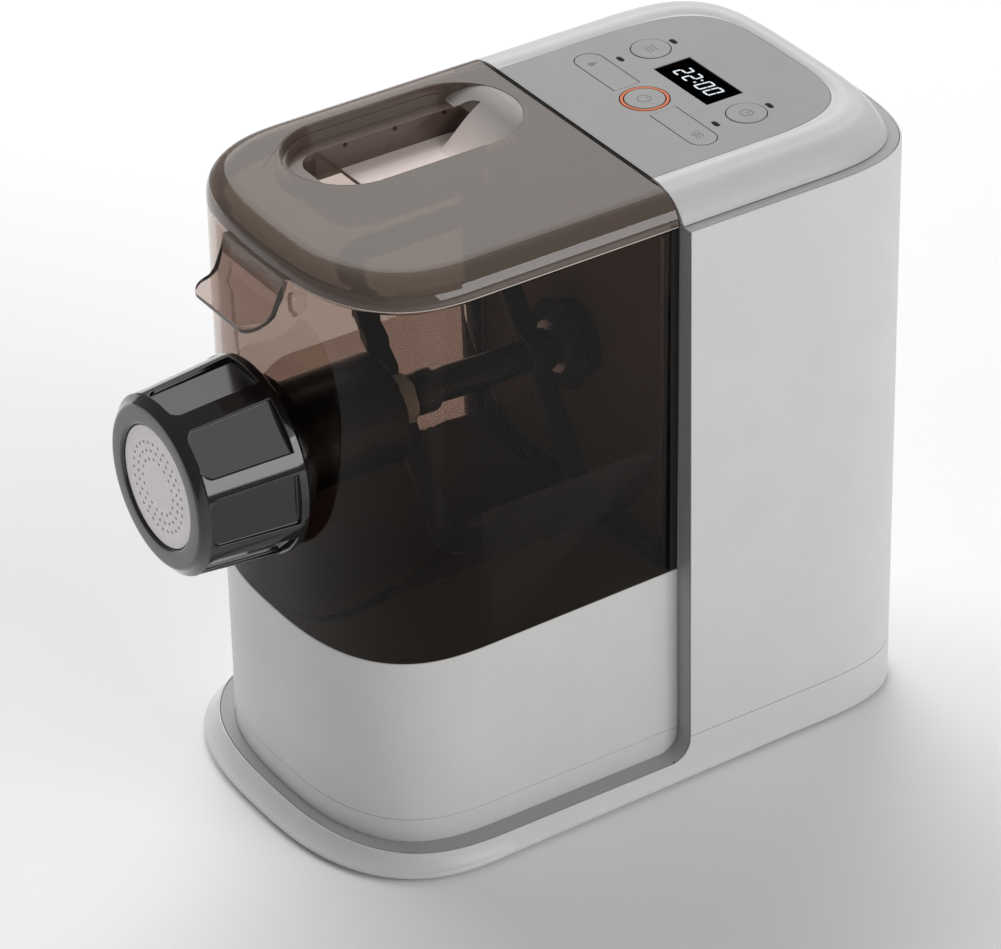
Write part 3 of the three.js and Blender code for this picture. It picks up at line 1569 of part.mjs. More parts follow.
function startRing() {
  const inner = startRingRadius - startRingWidth;
  return cut(
    join(
      rodZ(startRingRadius, keyFlangeTop - clearance, fasciaTop + keyProud / 2, 0, startY, roundSides),
      rodZ(
        startRingRadius + keyFlange, keyFlangeTop - keyFlangeThickness, keyFlangeTop, 0, startY, smallSides,
      ),
    ),
    rodZ(inner, keyFlangeTop - keyFlangeThickness - overrun, fasciaTop + overrun, 0, startY, roundSides),
  );
}

function roundKey() {
  return keyParts(
    circle(roundKeyRadius, roundSides, roundKeyX, roundKeyY),
    circle(roundKeyRadius + keyFlange, smallSides, roundKeyX, roundKeyY),
    roundKeyX, roundKeyY,
  );
}

function longKey() {
  return keyParts(longKeyOutline(0), longKeyOutline(keyFlange), longKeyStemX, startY);
}

// One side's pair of indicator windows, joined below the deck by a bar beside the round key
function lightGuide() {
  const barTop = capDeckBottom - clearance;
  const barX = ledX + roundKeyRadius + keyFlange + keyStemRadius;
  const windows = ledYs.map((y) => join(
    prismZ(
      pill(ledX - ledHalfWidth, ledX + ledHalfWidth, y - ledHalfDepth, y + ledHalfDepth),
      ledPipeBottom, fasciaTop,
    ),
    block(ledX - ledHalfWidth, barX, y - ledHalfDepth, y + ledHalfDepth, ledPipeBottom, barTop),
  ));
  return join(...windows, block(barX - ledHalfWidth, barX, ledYs[0], ledYs[1], ledPipeBottom, barTop));
}

function displayLens() {
  return displayHole(0, fasciaFloor + clearance, fasciaTop);
}

// The digit block below the lens, with its four seven-bar figures and a colon as raised bars
const digitShares = { tall: 1.05, wide: 0.267, bar: 0.111, column: 0.39, colon: 0.124 };
const digitHeight = displayHalfDepth * digitShares.tall;
const digitWidth = displayHalfWidth * digitShares.wide;
const digitBar = displayHalfDepth * digitShares.bar;
const digitPitch = displayHalfWidth * digitShares.column;
const digitGroupGap = displayHalfWidth * digitShares.colon;
const digitRise = 0.4;
const digitColumns = [-1.5, -0.5, 0.5, 1.5];
const segmentsOn = [
  [1, 1, 0, 1, 1, 0, 1], [1, 1, 0, 1, 1, 0, 1], [1, 1, 1, 1, 1, 1, 0], [1, 1, 1, 1, 1, 1, 0],
];

function segmentBars(centreX, states, low, high) {
  const halfW = digitWidth / 2;
  const halfH = digitHeight / 2;
  const gap = digitBar / 4;
  const bar = (x0, x1, y0, y1) => block(centreX + x0, centreX + x1, displayY + y0, displayY + y1, low, high);
  const inner = halfW - digitBar - gap;
  const bars = [
    [-inner, inner, halfH - digitBar, halfH],
    [halfW - digitBar, halfW, digitBar / 2 + gap, halfH - gap],
    [halfW - digitBar, halfW, -halfH + gap, -digitBar / 2 - gap],
    [-inner, inner, -halfH, -halfH + digitBar],
    [-halfW, -halfW + digitBar, -halfH + gap, -digitBar / 2 - gap],
    [-halfW, -halfW + digitBar, digitBar / 2 + gap, halfH - gap],
    [-inner, inner, -digitBar / 2, digitBar / 2],
  ];
  return bars.filter((_, i) => states[i]).map((limits) => bar(...limits));
}

function displayModule() {
  const top = fasciaFloor - digitRise - clearance;
  const body = block(
    -displayHalfWidth + clearance, displayHalfWidth - clearance,
    displayY - displayHalfDepth + clearance, displayY + displayHalfDepth - clearance,
    boardTop + clearance, top,
  );
  const xs = digitColumns.map((column) => column * digitPitch + Math.sign(column) * digitGroupGap / 2);
  const bars = xs.flatMap((x, i) => segmentBars(x, segmentsOn[i], top - clearance, top + digitRise));
  const dots = [-1, 1].map((side) => block(
    -digitBar / 2, digitBar / 2, displayY + side * digitHeight / 4 - digitBar / 2,
    displayY + side * digitHeight / 4 + digitBar / 2, top - clearance, top + digitRise,
  ));
  return join(body, ...bars, ...dots);
}

const keyPlaces = [
  [0, startY], [roundKeyX, roundKeyY], [-roundKeyX, roundKeyY],
  [longKeyStemX, startY], [-longKeyStemX, startY],
];

// One push switch: a square can with a round plunger, resting on the board
function pushSwitch() {
  const half = switchSize / 2;
  return join(
    block(-half, half, -half, half, -boardThickness / 2, switchHeight),
    rodZ(switchPlungerRadius, switchHeight / 2, switchHeight + switchPlungerRadius / 4, 0, 0, tinySides),
  );
}

function controlBoard() {
  const half = controlBoardHalfWidth;
  const board = block(-half, half, controlBoardFront, controlBoardBack, boardTop - boardThickness, boardTop);
  const single = pushSwitch();
  return join(board, ...keyPlaces.map(([x, y]) => single.translate([x, y, boardTop])));
}

// Electrics
// Each component's middle and size, in shares of the board's span and of its distance from the shell
const boardPieces = [
  { y: 0.2, z: 0.25, depth: 0.64, width: 0.36, height: 0.36 },
  { y: 0.62, z: 0.2, depth: 0.88, width: 0.33, height: 0.2 },
  { y: 0.3, z: 0.72, depth: 0.48, width: 0.42, height: 0.18 },
  { y: 0.72, z: 0.62, depth: 0.72, width: 0.25, height: 0.3 },
];

function mainBoard() {
  const spanY = mainBoardBack - mainBoardFront;
  const spanZ = mainBoardTop - mainBoardBottom;
  const board = block(
    mainBoardX, mainBoardX + boardThickness, mainBoardFront, mainBoardBack, mainBoardBottom, mainBoardTop,
  );
  return join(board, ...boardPieces.map(({ y, z, depth, width, height }) => block(
    mainBoardX - depth * mainBoardInset, mainBoardX,
    mainBoardFront + (y - width / 2) * spanY, mainBoardFront + (y + width / 2) * spanY,
    mainBoardBottom + (z - height / 2) * spanZ, mainBoardBottom + (z + height / 2) * spanZ,
  )));
}

function mainsInlet() {
  const flangeFront = inletFlangeBack - inletFlangeThickness;
  const bodyFront = inletFlangeBack - inletBodyDepth;
  const pocketHalfWidth = inletBodyHalfWidth - inletPocketWall;
  const pocketHalfHeight = inletBodyHalfHeight - inletPocketWall;
  const pins = [-1, 1].map((side) => rodY(
    inletPinRadius, inletFlangeBack - inletPocketDepth - overrun, inletFlangeBack - inletPocketDepth / 3,
    inletX + side * inletPinOffset, inletZ, tinySides,
  ));
  return join(
    cut(
      join(
        prismY(pill(
          inletX - inletFlangeHalfWidth, inletX + inletFlangeHalfWidth,
          inletZ - inletFlangeHalfHeight, inletZ + inletFlangeHalfHeight,
        ), flangeFront, inletFlangeBack),
        block(
          inletX - inletBodyHalfWidth, inletX + inletBodyHalfWidth, bodyFront, flangeFront + clearance,
          inletZ - inletBodyHalfHeight, inletZ + inletBodyHalfHeight,
        ),
      ),
      prismY(pill(
        inletX - pocketHalfWidth, inletX + pocketHalfWidth,
        inletZ - pocketHalfHeight, inletZ + pocketHalfHeight,
      ), inletFlangeBack - inletPocketDepth, inletFlangeBack + overrun),
    ),
    ...pins,
  );
}

// Base
function basePlate() {
  const top = plateBottom + plateThickness;
  const places = (list) => list.flatMap(([x, y]) => [[x, y], [-x, y]]);
  return cut(
    join(
      prismZ(footOutline(plateInset), plateBottom, top),
      ...places(postPlaces).map(([x, y]) => (
        rodZ(postRadius + postBore, plateBottom, postPlateTop, x, y, tinySides)
      )),
    ),
    ...places(padPlaces).map(([x, y]) => boreZ(
      padStemRadius, plateBottom - overrun, top + overrun, x, y, tinySides,
    )),
    ...places(postPlaces).map(([x, y]) => rodZ(
      postPocketRadius, plateBottom - overrun, plateBottom + screwHeadHeight + clearance + clearance,
      x, y, tinySides,
    )),
    ...places(postPlaces).map(([x, y]) => (
      rodZ(postBore, plateBottom, postPlateTop + overrun, x, y, tinySides)
    )),
  );
}

function footPad() {
  const stemTop = plateBottom + plateThickness + clearance;
  const headTop = stemTop + padStemRadius / 2;
  const shoulder = plateBottom - clearance;
  return turnedUp([
    [0, 0], [padRadius - overrun, 0], [padRadius, overrun], [padRadius, shoulder], [padStemRadius, shoulder],
    [padStemRadius, stemTop], [padHeadRadius, stemTop], [padHeadRadius - overrun, headTop], [0, headTop],
  ], padSides, 0, 0);
}

function baseScrew() {
  const head = plateBottom + clearance;
  const shank = head + screwHeadHeight;
  return turnedUp([
    [0, head], [screwHeadRadius, head], [screwHeadRadius, shank], [screwShankRadius, shank],
    [screwShankRadius, shank + screwLength], [0, shank + screwLength],
  ], tinySides, 0, 0);
}

// The pieces
place('foot_shell', footShell(), white);
place('base_plate', basePlate(), darkPlastic);
const cornerNames = ['front_right', 'front_left', 'rear_right', 'rear_left'];
padPlaces.flatMap(([x, y]) => [[x, y, 0], [-x, y, 0]]).forEach((spot, i) => {
  place(`${cornerNames[i]}_foot`, footPad(), rubber, spot);
});
postPlaces.flatMap(([x, y]) => [[x, y, 0], [-x, y, 0]]).forEach((spot, i) => {
  place(`${cornerNames[i]}_base_screw`, baseScrew(), steel, spot);
});
place('rear_shell', rearShell(), white);
place('front_base', frontBase(), white);
place('front_trim', frontTrim(), trimGrey);
place('cap_trim', capTrim(trimLip + clearance, shellTop - trimThickness, shellTop), trimGrey);
place('bulkhead_panel', bulkhead(), darkPlastic);
place('mixing_chamber', chamber(), smoked);
place('chamber_seal', chamberSeal(), sealBlack);
place('lid', lid(), smoked);
place('extruder_barrel', barrel(), darkPlastic);
place('barrel_clamp_ring', clampRing(), darkPlastic);
place('die', die(), dieWhite);
place('die_gasket', gasket(), rubber);
place('die_nut', dieNut(), nutBlack);
place('extruding_screw', screw(), nylon);
place('mixing_shaft', mixerShaft(), darkPlastic);
place('mixing_arm_upper', mixerArm(-armTurn), darkPlastic);
place('mixing_arm_lower', mixerArm(0.5 - armTurn), darkPlastic);
place('drive_coupling', coupling(), steel);
place('shaft_seal', shaftSeal(), rubber);
place('output_shaft', outputShaft(), steel);
place('output_gear', outputGear(), nylon);
place('second_gear', secondGear(), nylon);
place('second_gear_axle', rodY(secondAxleRadius, coverFront, caseRear, 0, secondZ, smallSides), steel);
place('motor_pinion', motorPinion(), steel);
place('gearbox_cover', gearboxCover(), darkPlastic);
place('gearbox_case', gearboxCase(), darkPlastic);
place('output_bearing_front', bearing(coverFront, coverFront + bearingWidth), steel);
place('output_bearing_rear', bearing(caseRear - bearingWidth, caseRear), steel);
place('motor_body', motorBody(), motorSteel);
place('motor_bracket', motorBracket(), steel);
place('rotor_shaft', rotorShaft(), steel);
place('cooling_fan', coolingFan(), darkPlastic);
place('top_cap', topCap(), capWhite);
place('control_fascia', fascia(), fasciaGrey);
place('display_lens', displayLens(), lensBlack);
place('display_module', displayModule(), lensBlack);
place('start_button', startButton(), fasciaGrey);
place('start_ring', startRing(), orange);
place('round_key_right', roundKey(), fasciaGrey);
place('round_key_left', mirrored(roundKey()), fasciaGrey);
place('long_key_right', longKey(), fasciaGrey);
place('long_key_left', mirrored(longKey()), fasciaGrey);
place('light_guide_right', lightGuide(), lightPipe);
place('light_guide_left', mirrored(lightGuide()), lightPipe);
place('control_board', controlBoard(), boardGreen);
place('main_board', mainBoard(), boardGreen);
place('mains_inlet', mainsInlet(), sealBlack);

export default group;
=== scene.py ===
"""Electric pasta maker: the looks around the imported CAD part.

Sizes are in millimetres, with Y from the seam of lid and cap, and become metres when a piece is finished.
"""

import math

import bmesh
import bpy
import numpy as np
from mathutils import Matrix, Vector


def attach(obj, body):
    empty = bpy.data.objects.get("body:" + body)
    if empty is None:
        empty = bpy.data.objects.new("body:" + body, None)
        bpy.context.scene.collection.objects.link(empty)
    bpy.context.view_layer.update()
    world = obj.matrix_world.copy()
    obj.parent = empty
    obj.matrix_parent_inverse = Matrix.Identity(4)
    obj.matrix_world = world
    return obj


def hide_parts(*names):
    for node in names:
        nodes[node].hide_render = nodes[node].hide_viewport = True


MM = 0.001
SEAM_Y = 41.2

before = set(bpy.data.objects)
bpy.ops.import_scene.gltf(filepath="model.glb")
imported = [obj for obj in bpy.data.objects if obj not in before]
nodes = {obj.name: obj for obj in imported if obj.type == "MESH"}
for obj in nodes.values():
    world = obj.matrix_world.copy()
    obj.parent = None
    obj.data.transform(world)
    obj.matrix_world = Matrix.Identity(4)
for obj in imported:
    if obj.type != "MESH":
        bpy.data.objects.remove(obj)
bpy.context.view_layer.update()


def add_object(name, data):
    made = bpy.data.objects.new(name, data)
    bpy.context.scene.collection.objects.link(made)
    return made


# Camera and lights, in metres
CAMERA_RIGHT = (0.54976934, 0.8350998, -0.01902622)
CAMERA_UP = (-0.44283635, 0.31069323, 0.84105034)
CAMERA_BACK = (0.70827229, -0.45395819, 0.54062216)
CAMERA_PLACE = (1.6719075, -1.0722563, 1.4120554)
CAMERA_LENS, SENSOR_WIDTH = 181.888, 36
CLIP_NEAR, CLIP_FAR = 0.05, 50


def add_camera():
    data = bpy.data.cameras.new("camera")
    data.lens = CAMERA_LENS
    data.sensor_width = SENSOR_WIDTH
    data.clip_start = CLIP_NEAR
    data.clip_end = CLIP_FAR
    camera = add_object("camera", data)
    axes = Matrix((CAMERA_RIGHT, CAMERA_UP, CAMERA_BACK)).transposed().to_4x4()
    camera.matrix_world = Matrix.Translation(CAMERA_PLACE) @ axes
    bpy.context.scene.camera = camera


def add_area(name, place, target, size, power, reflected=True):
    """A soft light. It doesn't shine through clear plastic, and may be kept out of reflections."""
    data = bpy.data.lights.new(name, "AREA")
    data.shape = "RECTANGLE"
    data.size, data.size_y = size
    data.energy = power
    light = add_object(name, data)
    light.location = place
    light.visible_transmission = False
    light.visible_glossy = reflected
    light.rotation_mode = "QUATERNION"
    light.rotation_quaternion = (Vector(target) - Vector(place)).to_track_quat("-Z", "Y")


# Materials
BUMP_HEIGHT = 0.0001
SMOKED_IOR, SMOKED_ROUGHNESS = 1.06, 0.012


def new_material(name):
    material = bpy.data.materials.new(name)
    material.use_nodes = True
    tree = material.node_tree
    shader = tree.nodes["Principled BSDF"]
    return material, tree, shader


def node(tree, kind, inputs=None, **settings):
    made = tree.nodes.new(kind)
    for key, value in settings.items():
        setattr(made, key, value)
    for key, value in (inputs or {}).items():
        if isinstance(value, bpy.types.NodeSocket):
            tree.links.new(value, made.inputs[key])
        else:
            made.inputs[key].default_value = value
    return made


def own_place(tree):
    return node(tree, "ShaderNodeTexCoord").outputs["Object"]


def noise(tree, scale, detail):
    made = node(tree, "ShaderNodeTexNoise", {"Vector": own_place(tree), "Scale": scale, "Detail": detail})
    return made.outputs["Fac"]


def ranged(tree, value, low, high):
    made = node(tree, "ShaderNodeMapRange", {"Value": value, "To Min": low, "To Max": high})
    return made.outputs["Result"]


def mixed(tree, factor, a, b):
    """A mix of two colours. The colour sockets of the mix node are found by number, as their names repeat."""
    made = node(tree, "ShaderNodeMix", data_type="RGBA")
    tree.links.new(factor, made.inputs["Factor"])
    for index, value in ((6, a), (7, b)):
        made.inputs[index].default_value = (*value, 1)
    return made.outputs[2]


def put(shader, values):
    """Sets values on the shader's own sockets."""
    for key, value in values.items():
        shader.inputs[key].default_value = value


def paint(tree, shader, share, a, b, socket="Base Color"):
    tree.links.new(mixed(tree, share, a, b), shader.inputs[socket])


def polish(tree, shader, share, low, high):
    tree.links.new(ranged(tree, share, low, high), shader.inputs["Roughness"])


def bump(tree, shader, height, strength):
    made = node(tree, "ShaderNodeBump", {"Height": height, "Strength": strength, "Distance": BUMP_HEIGHT})
    tree.links.new(made.outputs["Normal"], shader.inputs["Normal"])


def srgb(*values):
    """Screen values from 0 to 255 as linear light."""
    return tuple((v / 255 / 12.92) if v <= 10 else ((v / 255 + 0.055) / 1.055) ** 2.4 for v in values)


def toned(colour, share):
    return tuple(min(1, c * share) for c in colour)


def plastic(name, screen, roughness, grain=0.15, grain_scale=2600, coat=0.0, specular=0.5):
    """Moulded plastic: a slight cloudiness in colour and gloss, and a fine grain."""
    material, tree, shader = new_material(name)
    put(shader, {"Specular IOR Level": specular, "Coat Weight": coat, "Coat Roughness": 0.08})
    colour = srgb(*screen)
    paint(tree, shader, noise(tree, 35, 3), toned(colour, 0.95), toned(colour, 1.05))
    polish(tree, shader, noise(tree, 90, 4), roughness * 0.88, roughness * 1.12)
    if grain:
        bump(tree, shader, noise(tree, grain_scale, 2), grain)
    return material


def smoked_plastic(name, colour, coat=0.0, clear=1.0):
    """Clear smoked plastic: the tint varies a little with its flow, and so does the polish."""
    material, tree, shader = new_material(name)
    put(shader, {"Transmission Weight": clear, "IOR": SMOKED_IOR})
    put(shader, {"Coat Weight": coat, "Coat Roughness": 0.02})
    paint(tree, shader, noise(tree, 22, 2), toned(colour, 0.95), toned(colour, 1.05))
    polish(tree, shader, noise(tree, 60, 2), SMOKED_ROUGHNESS * 0.5, SMOKED_ROUGHNESS * 1.5)
    return material


def pale_chute_painted_shade(name):
    """Pale plastic, with painted shade that greys it towards the top of its slope."""
    material, tree, shader = new_material(name)
    height = node(tree, "ShaderNodeSeparateXYZ", {"Vector": own_place(tree)}).outputs["Z"]
    foot, crest = 0.289, 0.306
    rise = node(tree, "ShaderNodeMapRange", {"Value": height, "From Min": foot, "From Max": crest})
    cloud = noise(tree, 40, 2)
    # The grey towards the crest is painted shade, where the slope turns away from the light.
    paint(tree, shader, rise.outputs["Result"], srgb(250, 234, 228), srgb(146, 142, 139))
    polish(tree, shader, cloud, 0.26, 0.34)
    bump(tree, shader, noise(tree, 1200, 2), 0.05)
    return material


def steel(name, screen, roughness):
    """Bare metal with a slight cloudiness and a fine grain."""
    material, tree, shader = new_material(name)
    put(shader, {"Metallic": 1.0})
    colour = srgb(*screen)
    paint(tree, shader, noise(tree, 60, 3), toned(colour, 0.85), colour)
    polish(tree, shader, noise(tree, 300, 4), roughness * 0.8, roughness * 1.3)
    bump(tree, shader, noise(tree, 900, 3), 0.1)
    return material


def glowing(name, colour, strength):
    """Lit segments that fade a little towards their ends."""
    material, tree, shader = new_material(name)
    put(shader, {"Base Color": (0.02, 0.02, 0.02, 1), "Emission Strength": strength})
    paint(tree, shader, noise(tree, 400, 1), toned(colour, 0.85), colour, "Emission Color")
    return material


def circuit(name):
    """Board green with paler tracks."""
    material, tree, shader = new_material(name)
    settings = {"Vector": own_place(tree), "Scale": 220.0}
    cells = node(tree, "ShaderNodeTexVoronoi", settings, distance="MANHATTAN")
    edge = ranged(tree, cells.outputs["Distance"], 0.0, 1.0)
    paint(tree, shader, edge, srgb(20, 78, 48), srgb(44, 118, 70))
    polish(tree, shader, noise(tree, 160, 3), 0.35, 0.6)
    return material


CHAMBER_TINT = (0.55, 0.465, 0.42)
LID_TINT = (0.23, 0.18, 0.152)
# The tab's paler tint is painted light: it is the lid's own smoked plastic, made lighter where its lip faces
# up into the light.
TAB_LIT_TINT = (0.66, 0.55, 0.51)

MATERIALS = {
    "white": plastic("white_shell", (210, 210, 209), 0.42, grain=0.1),
    "cap": plastic("cap_white", (200, 200, 199), 0.34, grain=0.05),
    "fascia": plastic("panel_grey", (147, 147, 146), 0.5, grain=0.15, grain_scale=3200),
    "trim": plastic("grey_trim", (160, 160, 160), 0.42, grain=0.1),
    "smoked": smoked_plastic("smoked_chamber", CHAMBER_TINT, coat=0.3),
    "smoked_inside": smoked_plastic("smoked_chamber_inside", CHAMBER_TINT),
    "lid": smoked_plastic("smoked_lid", LID_TINT, coat=1.0, clear=0.55),
    "lid_inside": smoked_plastic("smoked_lid_inside", LID_TINT, clear=0.55),
    "lid_tab": smoked_plastic("smoked_tab_painted_light", TAB_LIT_TINT, coat=0.8),
    # Painted shade: dark opaque faces on the tab's sides and front end stand in for the dark outline of its
    # clear edges.
    "lid_edge_shade": plastic("lid_edge_painted_shade", (48, 38, 34), 0.25, grain=0.0, coat=0.3),
    # Painted highlight: a pale glossy band round the foot of the lid's rim stands in for the bright line
    # along it.
    "lid_rim_highlight": plastic("lid_rim_painted_highlight", (206, 194, 186), 0.2, grain=0.0, coat=0.3),
    "deck": plastic("deck_brown", (130, 120, 112), 0.45, grain=0.1),
    "bulkhead": plastic("bulkhead_grey", (222, 206, 194), 0.5, grain=0.1),
    # Painted shade: a dark brown skin on the recess walls, which are the lid's own smoked plastic.
    "recess": plastic("recess_painted_shade", (92, 76, 68), 0.22, grain=0.0, coat=0.4),
    "nut": plastic("black_gloss", (22, 19, 18), 0.09, grain=0.0, coat=0.5),
    "die": plastic("die_plastic", (236, 230, 232), 0.45, grain=0.2, grain_scale=1500),
    "chute": pale_chute_painted_shade("pale_chute_painted_shade"),
    "dark": plastic("dark_plastic", (30, 27, 26), 0.35, grain=0.1),
    "rubber": plastic("rubber", (30, 30, 30), 0.85, grain=0.4, grain_scale=1800),
    "seal": plastic("seal_black", (10, 10, 10), 0.5, grain=0.2),
    "nylon": plastic("nylon", (228, 222, 206), 0.45, grain=0.15),
    "steel": steel("steel", (190, 190, 192), 0.3),
    "motor": steel("motor_steel", (150, 152, 154), 0.42),
    "orange": plastic("orange_ring", (205, 104, 56), 0.4, grain=0.05),
    "lens": plastic("display_black", (2, 2, 2), 0.6, grain=0.0, specular=0.0),
    "pipe": plastic("indicator_window", (6, 6, 8), 0.4, grain=0.05, specular=0.08),
    "print": plastic("key_print", (112, 112, 114), 0.55, grain=0.0),
    "glow": glowing("display_digits", srgb(228, 236, 244), 1.0),
    "board": circuit("board_green"),
}

NODE_LOOKS = {
    "white": "foot_shell rear_shell front_base",
    "cap": "top_cap",
    "fascia": "control_fascia start_button round_key_right round_key_left long_key_right long_key_left",
    "trim": "front_trim cap_trim",
    "smoked": "mixing_chamber",
    "lid": "lid",
    "nut": "die_nut",
    "die": "die",
    "dark": "base_plate extruder_barrel barrel_clamp_ring mixing_shaft mixing_arm_upper mixing_arm_lower"
    " gearbox_cover gearbox_case cooling_fan",
    "bulkhead": "bulkhead_panel",
    "rubber": "front_right_foot front_left_foot rear_right_foot rear_left_foot die_gasket shaft_seal",
    "seal": "chamber_seal mains_inlet",
    "nylon": "extruding_screw output_gear second_gear",
    "steel": "front_right_base_screw front_left_base_screw rear_right_base_screw rear_left_base_screw"
    " drive_coupling output_shaft second_gear_axle motor_pinion output_bearing_front output_bearing_rear"
    " motor_bracket rotor_shaft",
    "motor": "motor_body",
    "orange": "start_ring",
    "lens": "display_lens display_module",
    "pipe": "light_guide_right light_guide_left",
    "board": "control_board main_board",
}
for look, names in NODE_LOOKS.items():
    for name in names.split():
        mesh = nodes[name].data
        mesh.materials.clear()
        mesh.materials.append(MATERIALS[look])


# Sizes, in millimetres from the seam plane
SHELL_HALF, SHELL_BACK, SHELL_BACK_START, SHELL_TOP, WALL = 95.0, 140.0, 60.0, 296.8, 2.6
MODULE_HALF, MODULE_FRONT, MODULE_START = 84.6, -167.8, -99.2
RIM_HALF, RIM_FRONT, RIM_START, RIM_Z = 86.3, -166.8, -102.9, 295.4
FOOT_FRONT, FOOT_FLARE, LEDGE_TOP, LEDGE_FILLET, TRAY_BOTTOM = -174.2, 8.0, 12.0, 11.0, 2.0
PARTING_Z, GAP = 24.2, 0.3
TRIM_THICK, TRIM_LIP = 1.6, 0.8
AXIS_Z, TROUGH_RADIUS = 196.1, 81.3
CAP_HALF, CAP_BACK, CAP_FRONT = 88.9, 135.2, 0.25
FASCIA_TOP, FASCIA_HALF, FASCIA_BACK, FASCIA_BACK_START, FASCIA_FRONT = 309.0, 62.5, 118.4, 44.0, 1.4

# Powers of the rounded ends, across and along, and the shares of an inset that reach their tips
BACK_POWERS, FRONT_POWERS, RIM_POWERS = (4, 4), (2.67, 2.91), (2.72, 2.69)
RIM_TIP_SHARE, CAP_TIP_SHARE = 0.86, 0.636
ARC, FINE_ARC = 72, 1200


# Closed meshes and their joins and cuts
def solid(points, faces):
    """A closed mesh whose faces look outwards."""
    mesh = bpy.data.meshes.new("solid")
    mesh.from_pydata([tuple(map(float, p)) for p in points], [], [tuple(map(int, f)) for f in faces])
    edit = bmesh.new()
    edit.from_mesh(mesh)
    if edit.calc_volume(signed=True) < 0:
        bmesh.ops.reverse_faces(edit, faces=edit.faces)
    edit.to_mesh(mesh)
    edit.free()
    mesh.update()
    return add_object("solid", mesh)


def loft(rings):
    """A skin through rings of equally many points, with a flat face at each end."""
    count = len(rings[0])
    points = [p for ring in rings for p in ring]
    faces = []
    for k in range(len(rings) - 1):
        for i in range(count):
            j = (i + 1) % count
            faces.append((k * count + i, k * count + j, (k + 1) * count + j, (k + 1) * count + i))
    faces.append(tuple(range(count - 1, -1, -1)))
    last = (len(rings) - 1) * count
    faces.append(tuple(range(last, last + count)))
    return solid(points, faces)


def at(outline, z):
    """An outline at a height, or at a height that depends on Y."""
    return [(x, y, z(y) if callable(z) else z) for x, y in outline]


def prism_z(outline, z0, z1):
    return loft([at(outline, z0), at(outline, z1)])


def prism_y(outline, y0, y1):
    return loft([[(x, y1, z) for x, z in outline], [(x, y0, z) for x, z in outline]])


def prism_x(outline, x0, x1):
    return loft([[(x0, y, z) for y, z in outline], [(x1, y, z) for y, z in outline]])


def block(x0, x1, y0, y1, z0, z1):
    return prism_z([(x0, y0), (x1, y0), (x1, y1), (x0, y1)], z0, z1)


def circle(radius, sides, cx=0.0, cy=0.0):
    angles = [2 * math.pi * i / sides for i in range(sides)]
    return [(cx + radius * math.cos(a), cy + radius * math.sin(a)) for a in angles]


def turned(profile, sides):
    """A closed profile of radius and place along Y, in either order, turned about the shaft's axis."""
    area = sum(a[0] * b[1] - b[0] * a[1] for a, b in zip(profile, profile[1:] + profile[:1]))
    if area > 0:
        profile = profile[::-1]
    points, faces, index = [], [], []
    angles = [2 * math.pi * i / sides for i in range(sides)]
    for r, y in profile:
        if r < 1e-6:
            index.append([len(points)] * sides)
            points.append((0.0, y, AXIS_Z))
        else:
            index.append(list(range(len(points), len(points) + sides)))
            points += [(r * math.cos(a), y, AXIS_Z + r * math.sin(a)) for a in angles]
    for k in range(len(profile)):
        a, b = index[k], index[(k + 1) % len(profile)]
        if a[0] == a[1] and b[0] == b[1]:
            continue
        for i in range(sides):
            j = (i + 1) % sides
            corners = []
            for c in (a[i], a[j], b[j], b[i]):
                if c not in corners:
                    corners.append(c)
            faces.append(tuple(corners))
    return solid(points, faces)


def apply_modifiers(obj):
    bpy.context.view_layer.update()
    graph = bpy.context.evaluated_depsgraph_get()
    mesh = bpy.data.meshes.new_from_object(obj.evaluated_get(graph))
    obj.modifiers.clear()
    obj.data = mesh


def combined(base, tools, operation):
    """A base cut by, joined to or shared with tools, which are used up."""
    for tool in tools:
        step = base.modifiers.new("step", "BOOLEAN")
        step.solver = "MANIFOLD"
        step.operation = operation
        step.object = tool
    apply_modifiers(base)
    for tool in tools:
        bpy.data.objects.remove(tool)
    edit = bmesh.new()
    edit.from_mesh(base.data)
    bmesh.ops.triangulate(edit, faces=[f for f in edit.faces if len(f.verts) > 4])
    edit.to_mesh(base.data)
    edit.free()
    return base


def cut(base, *tools):
    return combined(base, tools, "DIFFERENCE")


def join(base, *tools):
    return combined(base, tools, "UNION")


def shared(base, *tools):
    return combined(base, tools, "INTERSECT")


def mirrored(obj, side=-1):
    """Puts a piece on the other side of the middle plane when the side is negative."""
    if side < 0:
        obj.data.transform(Matrix.Diagonal((-1, 1, 1, 1)))
        obj.data.flip_normals()
    return obj


def spun(obj, angle):
    """Turns a piece about the shaft's axis."""
    there, back = Matrix.Translation((0, 0, AXIS_Z)), Matrix.Translation((0, 0, -AXIS_Z))
    obj.data.transform(there @ Matrix.Rotation(angle, 4, "Y") @ back)
    return obj


# Outlines
def rounded_end(half, tip, start, powers, side):
    """A superellipse's half, from one side of an outline to the other."""
    across, along = powers
    points = []
    for i in range(FINE_ARC + 1):
        a = math.pi * i / FINE_ARC
        c, s = math.cos(a), math.sin(a)
        points.append((
            side * half * math.copysign(abs(c) ** (2 / across), c),
            start + (tip - start) * abs(s) ** (2 / along),
        ))
    points[0] = (side * half, start)
    points[-1] = (-side * half, start)
    return resampled(points, ARC)


def resampled(points, steps):
    """The same line with points at even distances."""
    p = np.array(points)
    length = np.concatenate([[0], np.cumsum(np.linalg.norm(np.diff(p, axis=0), axis=1))])
    want = np.linspace(0, length[-1], steps + 1)
    return list(zip(np.interp(want, length, p[:, 0]), np.interp(want, length, p[:, 1])))


def flat_end(half, y, side):
    return [(side * half, y), (-side * half, y)]


def shell_back_end(half, inset=0.0):
    return rounded_end(half, SHELL_BACK - inset, SHELL_BACK_START, BACK_POWERS, 1)


def front_end(half, inset, tip):
    return rounded_end(half, tip + inset, MODULE_START, FRONT_POWERS, -1)


